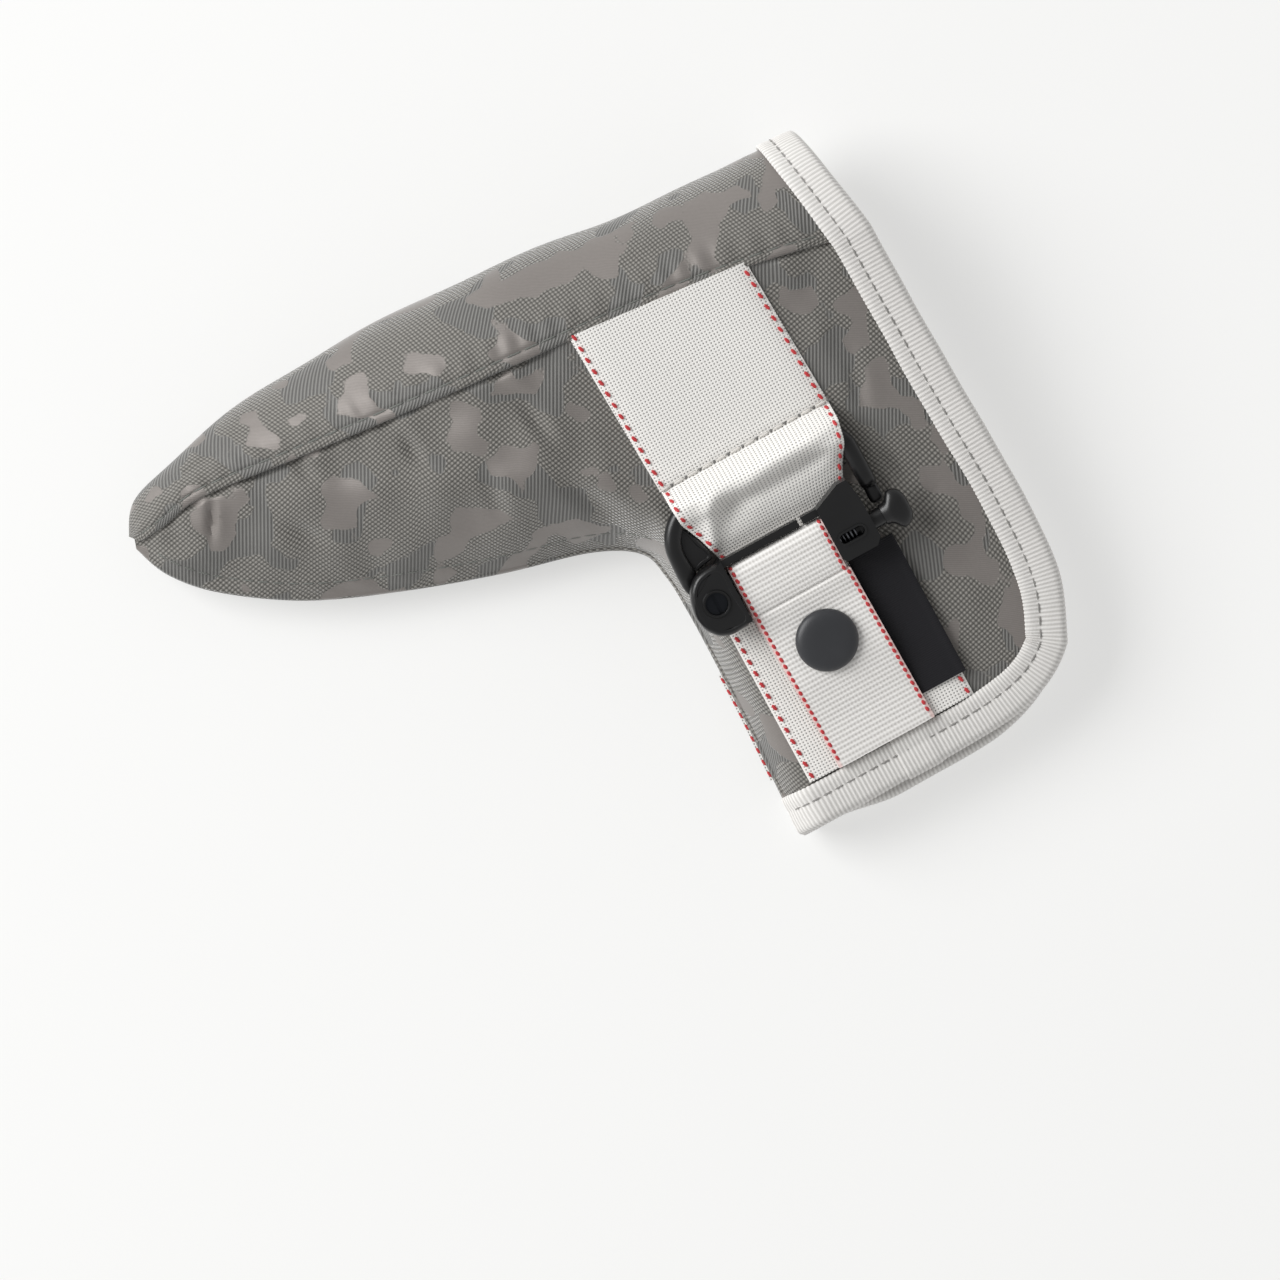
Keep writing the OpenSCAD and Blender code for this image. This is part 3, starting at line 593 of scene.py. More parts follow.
# %% [markdown]
# ## Spine gusset
# A long strip of the same cloth goes round the sole side. Its front edge is turned under, laid over the
# front panel and topstitched, so it stands proud by about one cloth and throws a thin shadow. The grid
# starts on the panel with a rounded edge, walks up over the seam and then round the half ellipse to the
# back.

# %% The lapped strip
PROUD, STITCH_GROOVE, STRIP_PUCKER, STRIP_SOFT = 0.95, 0.35, 0.25, 0.3
STITCH_IN, LAP_LIMIT = 0.8, 0.3
BOUND_FROM, BOUND_FADE = HEEL - 0.85, 0.35
FULL_WIDTH = 18.0
LAP_WALK = np.array([-1.6, -1.55, -1.4, -1.1, -0.6, 0.0])
LAP_LIFT = np.array([0.15, 0.55, 0.8, 0.93, 0.97, 0.97])
SEAM_WALK = np.array([0.25, 0.5, 0.8, 1.1, 1.4, 1.8, 2.3, 2.9, 3.6, 4.6, 5.8, 7.4, 9.2, 11.0])


def unbound(s):
    """1 along the strip, 0 where the binding presses it flat."""
    return 1 - smooth((s - BOUND_FROM) / BOUND_FADE)


def gusset_lift(s, walk):
    """How far the strip stands off its base: full on the lap, a groove at the stitch, then fading."""
    arc = outer_edge(s)[..., 0]
    groove = STITCH_GROOVE * hump(walk, STITCH_IN, 0.5)
    pucker = STRIP_PUCKER * np.sin(arc / 0.9 + 1.2 * np.sin(arc / 6)) * hump(walk, 3.6, 3.0)
    return (PROUD * (1 - smooth((walk - 3.4) / 8)) - groove + pucker) * unbound(s)


def seam_turn(s, walk):
    """The spine's turn in degrees at a walk past the seam; the walk shrinks where the spine is narrow."""
    width = spine_width(s)
    return 90 - np.degrees(walk * np.minimum(1, width / FULL_WIDTH) / width)


def gusset_at(s, walk, depth=0.0):
    """A point of the strip, walk millimetres past the seam; a negative walk lies on the front panel."""
    s, walk = np.broadcast_arrays(np.asarray(s, float), walk)
    edge = np.interp(walk, LAP_WALK, LAP_LIFT) * unbound(s)
    lap = panel_at(s, 1 - np.minimum(np.maximum(-walk, 0) / span(s), LAP_LIMIT), depth - edge)
    over = spine_at(s, seam_turn(s, np.maximum(walk, 0)), depth - gusset_lift(s, walk))
    return np.where((walk < 0)[..., None], lap, over)


def gusset_grid(s, depth, round_steps=44):
    """Lap and seam columns, then even turns from there round to the back's seam."""
    first = gusset_at(s, np.concatenate([LAP_WALK, SEAM_WALK])[None, :], depth)
    turn = mix(seam_turn(s, SEAM_WALK[-1]), -90.0, np.linspace(0, 1, round_steps + 1)[None, 1:])
    arc = outer_edge(s)[..., 0]
    middle = np.sin(np.radians(turn + 90)) * smooth((HEEL - 0.8 - s) / 0.6)
    soft = STRIP_SOFT * np.sin(arc / 6.1 + turn / 23) * middle
    return np.concatenate([first, spine_at(s, turn, depth - soft)], 1)


GUSSET_ROWS, UV_COLUMN = 28, 14
s = np.linspace(0, HEEL, HEEL * GUSSET_ROWS + 1)[:, None]
gusset = gusset_grid(s, 0.0)
gusset_uv = stacked(lengths(gusset[:, UV_COLUMN])[:, None], walk_across(gusset)) * MM
spine_gusset = shell("spine_gusset_cloth", gusset, gusset_grid(s, FABRIC_T - 0.05), gusset_uv)
dress(spine_gusset, FABRIC, replaces=["spine_gusset"])

# %% [markdown]
# ## Foam and lining
# Under the cloth lie a sheet of foam and a brushed lining, which show inside the mouth. They are the
# same surfaces at greater depth, so the panel functions make them too. The foam has a shallow pocket
# for each closing magnet: where the point is close to the magnet's centre, its inner face steps back.

# %% Finishes of the padding
def lining_cloth():
    """Dark brushed knit: a soft nap of noise over fine ribs."""
    f = Finish("lining", linear(92, 92, 94), 0.9, sheen_weight=0.3, sheen_roughness=0.6)
    vector, u, v, _ = f.place()
    nap = f.noise(vector, 0.7, 4.0, 0.65)
    ribs = u.wave(0.8) * 0.5 + v.wave(1.3) * 0.2
    f.drive("Base Color", f.blend(nap * 0.7 + ribs * 0.3, linear(74, 74, 77), linear(112, 112, 115)))
    f.drive("Roughness", 0.85 + nap * 0.12)
    f.bump(nap * 0.7 + ribs, 0.2, 0.7)
    return f


def foam_sheet():
    """Pale open-cell foam: small dark pits where cells meet."""
    f = Finish("foam", linear(206, 203, 194), 0.95)
    vector, *_ = f.place("Object")
    cells = f.node("ShaderNodeTexVoronoi", {}, {"Vector": vector, "Scale": 1.6, "Randomness": 1.0})[0]
    f.drive("Base Color", f.blend(cells.step(0.0, 0.5), linear(214, 211, 203), linear(176, 172, 162)))
    f.drive("Roughness", 0.9 + cells * 0.08)
    f.bump(cells, 0.25, 0.8)
    return f


LINING = lining_cloth()
FOAM = foam_sheet()
print("lining", len(LINING.tree.nodes), "nodes, foam", len(FOAM.tree.nodes), "nodes")

# %% The six inner layers
MAGNET = np.array([52.0, -30.0])
MAGNET_POCKET, POCKET_EDGE, POCKET_FLOOR = 7.6, 1.2, 0.1
LAYER_ROWS, LAYER_COLUMNS = 12, 72
SPINE_COLUMNS, SPINE_RADIUS = 33, 16.0
LINING_TOP = FABRIC_T + FOAM_T
s, v = panel_grid(LAYER_ROWS, LAYER_COLUMNS)
from_magnet = np.linalg.norm(plan(*np.broadcast_arrays(s, v)) - MAGNET, axis=-1)
pocket = 1 - smooth((from_magnet - MAGNET_POCKET) / POCKET_EDGE)
follow = front_wrinkle(*np.broadcast_arrays(s, v))[..., None] * UP
for slot, cut, finish, top, bottom in (
        ("foam", "foam_sheet", FOAM, FABRIC_T, LINING_TOP - pocket * (FOAM_T - POCKET_FLOOR)),
        ("lining", "lining_cloth", LINING, LINING_TOP, STACK_T)):
    for side, is_back in (("front", False), ("back", True)):
        lift = 0 if is_back else follow
        layer = panel_at(s, v, top, is_back) + lift
        made = shell(f"{side}_{cut}", layer, panel_at(s, v, bottom, is_back) + lift, unrolled(layer))
        dress(made, finish, replaces=[f"{side}_{slot}"])

s = np.linspace(0, HEEL, HEEL * LAYER_ROWS + 1)[:, None]
turn = np.linspace(90, -90, SPINE_COLUMNS)[None, :]
around = np.radians(90 - turn) * SPINE_RADIUS
spine_uv = stacked(lengths(spine_at(s, 90.0)[:, 0])[:, None], around) * MM
for slot, finish, top, bottom in (
        ("foam", FOAM, FABRIC_T, LINING_TOP), ("lining", LINING, LINING_TOP, STACK_T)):
    made = shell(f"spine_{slot}_strip", spine_at(s, turn, top), spine_at(s, turn, bottom), spine_uv)
    dress(made, finish, replaces=[f"spine_{slot}"])

# %% [markdown]
# ## Mouth binding
# A grosgrain tape is folded over the raw rim and stitched through. Its ribs run across it, one every
# millimetre, and are big enough to catch light, so they are real geometry: the folded section is carried
# along the rim in steps of a quarter of a rib, and a wave along the way pushes it out. At each step the
# section has its own axes: inward along the cloth, up off it, and down through the layers.

# %% The rim's line and its axes
RIB = 1.05
RIM_STEP = RIB / 4
LOOK_BACK = 0.2
TURN_POWER = 6
TOEWARDS = np.array([-1.0, 0.0, 0.0])
HEADING_EASE, UP_EASE = 12, 10


def panel_rim(s, v, back):
    """Rows of place, inward direction and depth step along a panel's rim. Inward is up the leg on the
    lower run and towards the toe on the heel run; powers of s and v turn one into the other."""
    s, v = np.broadcast_arrays(s, v)
    at = panel_at(s, v, 0, back)
    up_leg = unit(panel_at(s - LOOK_BACK, v, 0, back) - at)
    low = ((s - HEEL) / (LAST - HEEL)) ** TURN_POWER
    inward = (v**TURN_POWER)[:, None] * TOEWARDS + low[:, None] * up_leg
    return np.concatenate([at, inward, panel_at(s, v, 1.0, back) - at], 1)


def spine_rim(turn):
    """The same rows round the heel end of the spine."""
    heel = float(HEEL)
    at = spine_at(heel, turn)
    inward = unit(spine_at(heel - LOOK_BACK, turn) - at)
    return np.concatenate([at, inward, spine_at(heel, turn, 1.0) - at], 1)


def rim_line():
    """All rows round the mouth: the front's lower and heel runs, the spine, then the back's two."""
    lower = float(LAST), np.linspace(0, 1, 160)
    heel = np.linspace(LAST, HEEL, 200)[1:], 1.0
    return np.concatenate([
        panel_rim(*lower, False), panel_rim(*heel, False), spine_rim(np.linspace(90, -90, 122)[1:-1]),
        panel_rim(*heel, True)[::-1], panel_rim(*lower, True)[::-1]])


def eased(values, reach):
    """A running mean, which softens the turn from panel to spine."""
    padded = np.pad(values, ((reach, reach), (0, 0)), mode="edge")
    total = np.cumsum(np.concatenate([np.zeros((1, values.shape[1])), padded]), 0)
    return (total[2 * reach + 1:] - total[:-2 * reach - 1]) / (2 * reach + 1)


line = rim_line()
walk = lengths(line[:, :3])
at = np.linspace(0, walk[-1], int(walk[-1] / RIM_STEP) + 1)
line = sampled(line, walk, at)
RIM_AT, RIM_DEEP = line[:, :3], line[:, 6:]
heading = unit(eased(np.gradient(RIM_AT, axis=0), HEADING_EASE))
RIM_UP = unit(eased(np.cross(heading, unit(line[:, 3:6])), UP_EASE))
RIM_IN = unit(np.cross(RIM_UP, heading))
RIM_WALK = at
print("rim of", round(float(at[-1])), "mm in", len(at), "steps")

# %% The folded section
STITCH_AT = 5.4
top_x = np.array([8.95, 9.1, 8.75, 7.4, 6.0, STITCH_AT, 4.8, 3.0, 1.0])
top_y = np.array([0.34, 0.8, 1.18, 1.27, 1.2, 1.06, 1.2, 1.35, 1.33])
bend = np.radians(np.linspace(8, 172, 9))
UNDER = -STACK_T - CLEAR
fold_x = 0.35 - 1.6 * np.sin(bend)
fold_y = UNDER / 2 + (1.3 - UNDER / 2) * np.cos(bend)
section_out = np.stack([np.concatenate([top_x, fold_x, top_x[::-1]]),
                        np.concatenate([top_y, fold_y, UNDER - top_y[::-1]])], -1)
inside = np.linspace(0, 1, len(section_out))
in_x = mix(8.9, -0.35, 1 - np.abs(2 * inside - 1) ** 3)
section_in = np.stack([in_x, mix(0.31, UNDER - 0.01, smooth(inside * 3 - 1))], -1)
tangent = np.gradient(section_out, axis=0)
section_off = unit(np.stack([tangent[:, 1], -tangent[:, 0]], -1))
if section_off[len(top_x) // 2, 1] < 0:
    section_off = -section_off
print("folded section of", len(section_out), "points")

# %% The tape, carried along the rim
TAPE_END_X, TAPE_LAP, LAP_STEP = 31.0, 11.0, 0.4
RIB_HEIGHT, SLACK, PRESSED = 0.17, 0.5, 0.12


def tape_at(rows, section):
    """Rim place + inward * x + up * y for a point over the cloth, or + depth * -y for one below it."""
    x, y = section[..., 0, None], section[..., 1, None]
    return (RIM_AT[rows, None] + RIM_IN[rows, None] * x + np.maximum(y, 0) * RIM_UP[rows, None]
            - np.minimum(y, 0) * RIM_DEEP[rows, None])


rows = np.arange(len(RIM_WALK))
rib = 0.5 + 0.5 * np.cos(2 * math.pi * RIM_WALK / RIB)
slack = 0.12 * np.sin(RIM_WALK / 7.3) + 0.1 * np.sin(RIM_WALK / 3.1 + 1)
lap_at = np.interp(TAPE_END_X, RIM_AT[:200, 0], RIM_WALK[:200])
tape_lap = LAP_STEP * smooth((RIM_WALK - lap_at) / 0.4) * smooth((lap_at + TAPE_LAP - RIM_WALK) / 3)
push = (RIB_HEIGHT * rib + SLACK * slack + tape_lap)[:, None, None] - PRESSED
outer = tape_at(rows, section_out[None] + section_off[None] * push)
inner = tape_at(rows, np.broadcast_to(section_in, (len(rows), *section_in.shape)))
tape_uv = stacked(RIM_WALK[:, None], lengths(section_out)[None, :]) * MM


def binding_tape():
    """Pale grosgrain: thread lines along each rib, painted shade in the furrows, and soil in soft patches.
    """
    f = Finish("binding_tape", linear(226, 224, 221), 0.72, sheen_weight=0.08)
    vector, u, v, _ = f.place()
    furrow = 1 - u.wave(RIB)
    thread = v.wave(0.34) * 0.5 + f.noise(vector, 0.5, 3.0, 0.6) * 0.5
    soil = f.noise(vector, 22.0, 3.0)
    # Painted shade: the furrow term darkens the colour between the ribs towards the dark end; soil is a
    # separate random noise.
    tone = furrow * 0.55 + thread * 0.3 + soil * 0.15
    f.drive("Base Color", f.blend(tone, linear(244, 242, 239), linear(184, 181, 177)))
    f.drive("Roughness", 0.66 + thread * 0.2)
    f.bump(thread, 0.1, 0.5)
    return f


TAPE = binding_tape()
mouth_binding = shell("mouth_binding_tape", outer, inner, tape_uv, sharp=50)
dress(mouth_binding, TAPE, replaces=["mouth_binding"])

# %% [markdown]
# ## Stitches and woven dashes
# Thread shows as short bright beads: topstitches on the cloth, and red floats woven into the edges of
# the webbing. Hundreds of them are needed, so one small bead of a few dozen faces is stretched along
# each step of a line, all at once, by adding arrays of different shapes.

# %% Beads along a line
BEAD_RINGS, BEAD_SIDES = 6, 6
# Each stitch: pitch, length, width and height in millimetres, then its slant if it has one.
SPINE_STITCH = 4.4, 3.9, 0.55, 0.5
TOE_STITCH = 3.6, 3.0, 0.4, 0.35
TAPE_STITCH = 3.1, 2.4, 0.45, 0.42
CROSS_STITCH = 3.8, 3.0, 0.75, 0.6
NEEDLE_HOLE = 3.8, 0.8, 0.8, 0.36
WEB_FLOAT = 3.1, 1.8, 0.82, 0.36, 0.2
STRAP_FLOAT = 1.85, 1.4, 0.85, 0.5, 0.12
LEG_FLOAT = 3.1, 1.75, 0.72, 0.5, 0.18


def beads(name, line, normals, pitch, length, width, height, skew=0.0):
    """Beads along a line: an ellipse of width and height, swept along each step and closed at its ends."""
    walk = lengths(line)
    middles = np.arange(pitch / 2, walk[-1], pitch)
    at = sampled(line, walk, middles)
    up = unit(sampled(normals, walk, middles))
    heading = unit(sampled(line, walk, middles + 0.2) - sampled(line, walk, middles - 0.2))
    side = unit(np.cross(up, heading))
    heading = unit(heading + skew * side)
    t = np.linspace(-1, 1, BEAD_RINGS)
    swell = np.sqrt(np.maximum(1 - np.abs(t) ** 3, 0.02))
    turn = np.linspace(0, 2 * math.pi, BEAD_SIDES, endpoint=False)
    ring = swell[:, None] * np.array([np.cos(turn) * width / 2, np.sin(turn) * height / 2])[:, None]
    shape = stacked(t[:, None] * length / 2, *ring).reshape(-1, 3)
    axes = np.stack([heading, side, up], 1)
    points = at[:, None] + np.einsum("pk,nkj->npj", shape, axes)
    faces = skin(BEAD_RINGS, BEAD_SIDES)[None] + (np.arange(len(at)) * len(shape))[:, None, None]
    return piece(name, points, faces.reshape(-1, 4), sharp=80)


def thread(name, light, dark, twist=0.35):
    """Spun thread: slanting ply lines between a light and a dark tone."""
    f = Finish(name, light, 0.6, sheen_weight=0.1)
    vector, x, y, z = f.place("Object")
    ply = (x + y * 0.8 + z * 0.5).wave(twist)
    fibre = f.noise(vector, 0.3, 2.0, 0.6)
    f.drive("Base Color", f.blend(ply * 0.6 + fibre * 0.4, dark, light))
    f.drive("Roughness", 0.5 + fibre * 0.25)
    f.bump(ply, 0.05, 0.6)
    return f


TAPE_THREAD = thread("tape_thread", linear(164, 162, 159), linear(122, 120, 117))
# Painted shade: this dark finish stands in for the shade inside the needle holes.
HOLE_SHADE = thread("needle_hole_shade", linear(120, 118, 115), linear(96, 94, 92))
GREY_THREAD = thread("grey_thread", linear(124, 126, 121), linear(84, 86, 82))
PALE_THREAD = thread("pale_thread", linear(232, 229, 224), linear(188, 184, 178))
RED_THREAD = thread("red_thread", linear(212, 62, 66), linear(172, 40, 46))
print("each thread", len(RED_THREAD.tree.nodes), "nodes, each bead", BEAD_RINGS * BEAD_SIDES, "points")

# %% Topstitch of the gusset, the toe edge and the binding
TOE_STITCH_IN, STITCH_Q = 3.2, 1.14


def off_cloth(line, across):
    """Upward direction along a line on the cloth: square to the line and to a step across it."""
    up = unit(np.cross(np.gradient(line, axis=0), across))
    return up * np.sign(up[:, 2:])


s = np.linspace(0.35, HEEL - 0.62, 600)
line = gusset_at(s, STITCH_IN)
up = off_cloth(line, gusset_at(s, STITCH_IN - 0.4) - gusset_at(s, STITCH_IN + 0.4))
dress(beads("spine_topstitch", line, up, *SPINE_STITCH), GREY_THREAD)

s = np.linspace(0.75, 7.2, 400)
v = TOE_STITCH_IN / span(s)
line = panel_at(s, v) + front_wrinkle(s, v)[:, None] * UP
up = off_cloth(line, panel_at(s, 1.25 * v) - panel_at(s, 0.75 * v))
dress(beads("toe_edge_topstitch", line, up, *TOE_STITCH), GREY_THREAD)

rows = np.arange(12, len(RIM_WALK) - 12)
for name, height in (("binding_topstitch", STITCH_Q), ("binding_stitch_inside", UNDER - STITCH_Q)):
    line = tape_at(rows, np.array([[STITCH_AT, height]]))[:, 0]
    up = RIM_UP[rows] if height > 0 else unit(RIM_DEEP[rows])
    dress(beads(name, line, up, *TAPE_STITCH), TAPE_THREAD)

# %% [markdown]
# ## Wide webbing
# The webbing is one pale strap in three stretches: sewn flat below the spine seam, free where it bulges
# over the clip's bow, and sewn flat again down to the binding. Each stretch is a slab on the sloping
# front: rows along the strap, columns across it, with the top rounded off at both edges. The free
# stretch follows a given line over the bow and gets soft folds from a few humps.

# %% The sloping front, and a slab of webbing on it
def up_slope(y):
    """Distance up the slope from the strap's root, for a place given on the table."""
    return (y - HINGE_Y) / math.cos(FRONT_SLOPE)


def on_front(x, p, q):
    """x across, p up the slope and q off the cloth, as a point of the pattern."""
    c, n = math.cos(FRONT_SLOPE), math.sin(FRONT_SLOPE)
    return stacked(x, HINGE_Y + p * c - q * n, FRONT_Z + p * n + q * c)


FRONT_UP = on_front(0, 0, 1.0) - on_front(0, 0, 0.0)
ACROSS = (1 - np.cos(np.linspace(0, math.pi, 41)))[None, :] / 2
DOME = 0.35 + 0.65 * (1 - np.abs(2 * ACROSS - 1) ** 10)
EDGE_COLUMNS = (4, -5)


def slab(name, left, right, p, low, thick, wave=0.0, along_uv=None):
    """Webbing between a left and a right edge: flat below, and on top a dome that falls at both edges."""
    left, right, p, low = (np.asarray(a, float).reshape(-1, 1) for a in (left, right, p, low))
    x = mix(left, right, ACROSS)
    bottom = low + wave
    uv_p = p if along_uv is None else np.asarray(along_uv).reshape(-1, 1)
    uv = stacked((ACROSS - 0.5) * np.mean(right - left), uv_p) * MM
    return shell(name, on_front(x, p, bottom + thick * DOME), on_front(x, p, bottom), uv, sharp=50)


def woven_webbing(name, pitch_u, pitch_v, depth):
    """Plain weave: threads both ways, bright along each, with a dark pinhole between every four."""
    f = Finish(name, linear(224, 221, 217), 0.62, sheen_weight=0.1)
    vector, u, v, _ = f.place()
    warp, weft = u.wave(pitch_u), v.wave(pitch_v)
    weave = warp + weft - warp * weft
    fibre = f.noise(vector, 0.6, 3.0, 0.6)
    soil = f.noise(vector, 18.0, 2.0)
    tone = weave.step(0.0, 0.75) * 0.85 + fibre * 0.2 + soil * 0.06
    f.drive("Base Color", f.blend(tone, linear(82, 79, 76), linear(243, 241, 237)))
    f.drive("Roughness", 0.7 - weave * 0.15)
    f.bump(weave + fibre * 0.2, depth, 0.8)
    return f


WEBBING = woven_webbing("wide_webbing", 0.84, 0.78, 0.12)
print("wide webbing", len(WEBBING.tree.nodes), "nodes")

# %% Upper and lower runs
WEB_X, WEB_W, WEB_T, WEB_LEAN = 10.3, 45.0, 1.4, 1.5
CROSS_Y, FOLD_Y = 12.0, -25.0
HEAD_LEFT_Y, HEAD_RIGHT_Y = 54.0, 49.6
LOWER_X, LOWER_W = 10.0, 44.2
FLOAT_Q = TOUCH + 0.95 * WEB_T
t = np.linspace(0, 1, 60)[:, None]
x = WEB_X + WEB_LEAN * (1 - t) + WEB_W * ACROSS
p = up_slope(mix(CROSS_Y, mix(HEAD_LEFT_Y, HEAD_RIGHT_Y, ACROSS), t))
swell = 0.12 * np.sin(x / 8.3 + p / 5.7) * smooth((p - up_slope(CROSS_Y)) / 6)
sewn = 0.35 * hump(p, up_slope(CROSS_Y), 0.9)
web_uv = np.stack([x - WEB_X - WEB_W / 2, p], -1) * MM
web_upper = shell("web_upper_webbing", on_front(x, p, TOUCH + WEB_T * DOME + swell - sewn),
                  on_front(x, p, TOUCH), web_uv, sharp=50)
dress(web_upper, WEBBING, replaces=["web_upper"])
web_upper_edges = [on_front(x[:, k], p[:, k], FLOAT_Q + swell[:, k]) for k in EDGE_COLUMNS]

p = np.linspace(CLEAR, up_slope(FOLD_Y) - 0.1, 60)
wave = 0.06 * np.sin(p / 4.3)[:, None]
web_lower = slab("web_lower_webbing", LOWER_X, LOWER_X + LOWER_W, p, TOUCH, WEB_T, wave)
dress(web_lower, WEBBING, replaces=["web_lower"])
web_lower_edges = [on_front(LOWER_X + dx, p, FLOAT_Q) for dx in (1.1, LOWER_W - 1.1)]

# %% Free loop over the bow
# The line gives pairs of y and height off the front, the edges pairs of y and x.
LOOP_LINE = np.array([
    [12.0, 0.8], [11.2, 1.1], [9.4, 4.4], [7.8, 6.6], [6.2, 7.2], [4.0, 6.6], [1.6, 5.0], [-1.5, 3.9],
    [-5.0, 2.9], [-8.4, 1.6], [-11.2, 0.9], [-14.0, 0.8], [-19.0, 0.8], [-24.6, 0.8]])
LEFT_EDGE = np.array([
    [12.0, 12.0], [8.0, 12.0], [3.3, 12.3], [-2.3, 14.7], [-8.8, 16.7], [-13.0, 17.2], [-25.0, 17.2]])
RIGHT_EDGE = np.array([
    [12.0, 56.8], [8.0, 56.7], [2.2, 55.4], [-3.9, 51.9], [-7.6, 50.6], [-13.0, 50.4], [-25.0, 50.4]])
loop = along(LOOP_LINE, np.linspace(0, len(LOOP_LINE) - 1, 150))
y, q = loop[:, 0], loop[:, 1]
left = np.interp(-y, -LEFT_EDGE[:, 0], LEFT_EDGE[:, 1])
right = np.interp(-y, -RIGHT_EDGE[:, 0], RIGHT_EDGE[:, 1])
left, right = (eased(edge[:, None], 5)[:, 0] for edge in (left, right))
x = mix(left[:, None], right[:, None], ACROSS)
down = y[:, None]
high = smooth((x - 45) / 8) * (1.7 * hump(down, 2.2, 2.6))
crease = 1.5 * hump(x - 0.4 * down, 18.5, 1.9) * smooth((down + 9) / 5) * smooth((7.5 - down) / 4)
dent = -1.6 * hump(x - 0.3 * down, 24.5, 3.4) * hump(down, 1.2, 3.6)
bowed = down - 0.0035 * (x - 36) ** 2
valley = -1.1 * hump(bowed, 1.4, 2.0) * smooth((x - 20) / 8) * smooth((54 - x) / 6)
ridge = 0.8 * hump(down + 1.8 * hump(x, 29, 6), 6.4, 2.2) * smooth((x - 16) / 6) * smooth((56 - x) / 8)
fold = high + crease + dent + ridge + valley
thin = WEB_T * 0.9
web_loop = slab("web_loop_webbing", left, right, up_slope(y), q - thin / 2, thin, fold, -lengths(loop))
web_loop_edges = [on_front(x[:, k], up_slope(y), q + 0.4 * thin + fold[:, k]) for k in EDGE_COLUMNS]
dress(web_loop, WEBBING, replaces=["web_loop"])
LOOP_FOOT = (on_front(33.0, up_slope(0.0), 0.1) - MIDDLE) * MM


def slip_off(made):
    """Gives the piece a mesh of its own."""
    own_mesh(made)


slip_off(web_loop)

# %% Red floats along the webbing's edges, and the cross stitch
LOOP_SHOWN = slice(4, 112)


def off_front(line):
    """The front's upward direction at each point of a line."""
    return np.broadcast_to(FRONT_UP, line.shape)


for run, edges in (("upper", web_upper_edges), ("loop", web_loop_edges), ("lower", web_lower_edges)):
    for side, edge in zip(("left", "right"), edges):
        if run == "loop":
            edge = edge[LOOP_SHOWN]
        floats = beads(f"web_{run}_{side}_floats", edge, off_front(edge), *WEB_FLOAT)
        dress(floats, RED_THREAD)
        if run == "loop":
            slip_off(floats)

x = np.linspace(WEB_X + WEB_LEAN - 0.6, WEB_X + WEB_LEAN + WEB_W + 0.6, 60)
line = on_front(x, up_slope(CROSS_Y), TOUCH + WEB_T - 0.1)
dress(beads("webbing_cross_stitch", line, off_front(line), *CROSS_STITCH), PALE_THREAD)
# Painted shade: dark beads between the stitches stand in for the shade in the needle holes.
line = on_front(x + CROSS_STITCH[0] / 2, up_slope(CROSS_Y), TOUCH + WEB_T - 0.14)[:-3]
dress(beads("webbing_needle_holes", line, off_front(line), *NEEDLE_HOLE), HOLE_SHADE)

# %% [markdown]
# ## Snap strap
# A narrower strap comes out of the binding, runs beside the label, carries the snap's cap and folds
# round the clip's bar. It is a grosgrain like the binding, so its cross ribs are real too. A side view
# gives its middle line; the two faces lie half a thickness to each side of that line.

# %% The strap's line and its band
STRAP_X, STRAP_W, STRAP_T, STRAP_RIB = 16.6, 25.0, 1.2, 1.2
SNAP_X, SNAP_P = 29.6, up_slope(-36.7)
BAR_P, BAR_Q, LOOP_R = up_slope(-13.2), 5.0, 2.5
CREASE_P, CREASE, FURROW = up_slope(-24.0), 0.55, 0.045
STRAP_FLOAT_IN, STRAP_FLOAT_SINK = 0.75, 0.14
bend = np.radians(np.linspace(90, -90, 25))
strap_line = np.concatenate([
    [[0.35, 2.4], [11, 3.3], [SNAP_P - 7, 5.1], [SNAP_P + 7, 5.1], [BAR_P - 7, 7.2]],
    np.stack([BAR_P + LOOP_R * np.cos(bend), BAR_Q + LOOP_R * np.sin(bend)], -1),
    [[BAR_P - 6, 2.8], [SNAP_P + 8.5, 3.8]]])
strap_line = even(strap_line, STRAP_RIB / 6)
strap_line[1:-1] = eased(strap_line, 7)[1:-1]
walk = lengths(strap_line)
over = strap_line[:, 1] > BAR_Q - 0.01
over[: np.argmax(strap_line[:, 0])] = True
heading = unit(np.gradient(strap_line, axis=0))
off = np.stack([-heading[:, 1], heading[:, 0]], -1)[:, None, :]
step_out = 1 - smooth((strap_line[:, 0] - CREASE_P + 0.4) / 0.8)
lean = 0.9 * (1 - clamp(strap_line[:, 0] / CREASE_P)) + 0.3
strap_left = STRAP_X + lean * over
strap_right = STRAP_X + STRAP_W + (lean + 0.7 * step_out) * over
x = mix(strap_left[:, None], strap_right[:, None], ACROSS)
rounded = 1 - np.abs(2 * ACROSS - 1) ** 12
furrow = FURROW * (1 - np.cos(2 * math.pi * walk / STRAP_RIB))[:, None]
plain_end = smooth((walk - 1.5) / 1.5)[:, None]
crease = CREASE * hump(strap_line[:, 0], CREASE_P, 0.45)[:, None] * over[:, None]
half = STRAP_T / 2 * (0.45 + 0.55 * rounded) - furrow * plain_end * rounded
faces = []
for side in (1, -1):
    face = strap_line[:, None] + off * (side * half - crease)[..., None]
    faces.append(on_front(x, face[..., 0], face[..., 1]))
strap_uv = stacked((ACROSS - 0.5) * STRAP_W, walk[:, None]) * MM
snap_strap = shell("snap_strap_webbing", *faces, strap_uv, sharp=60)


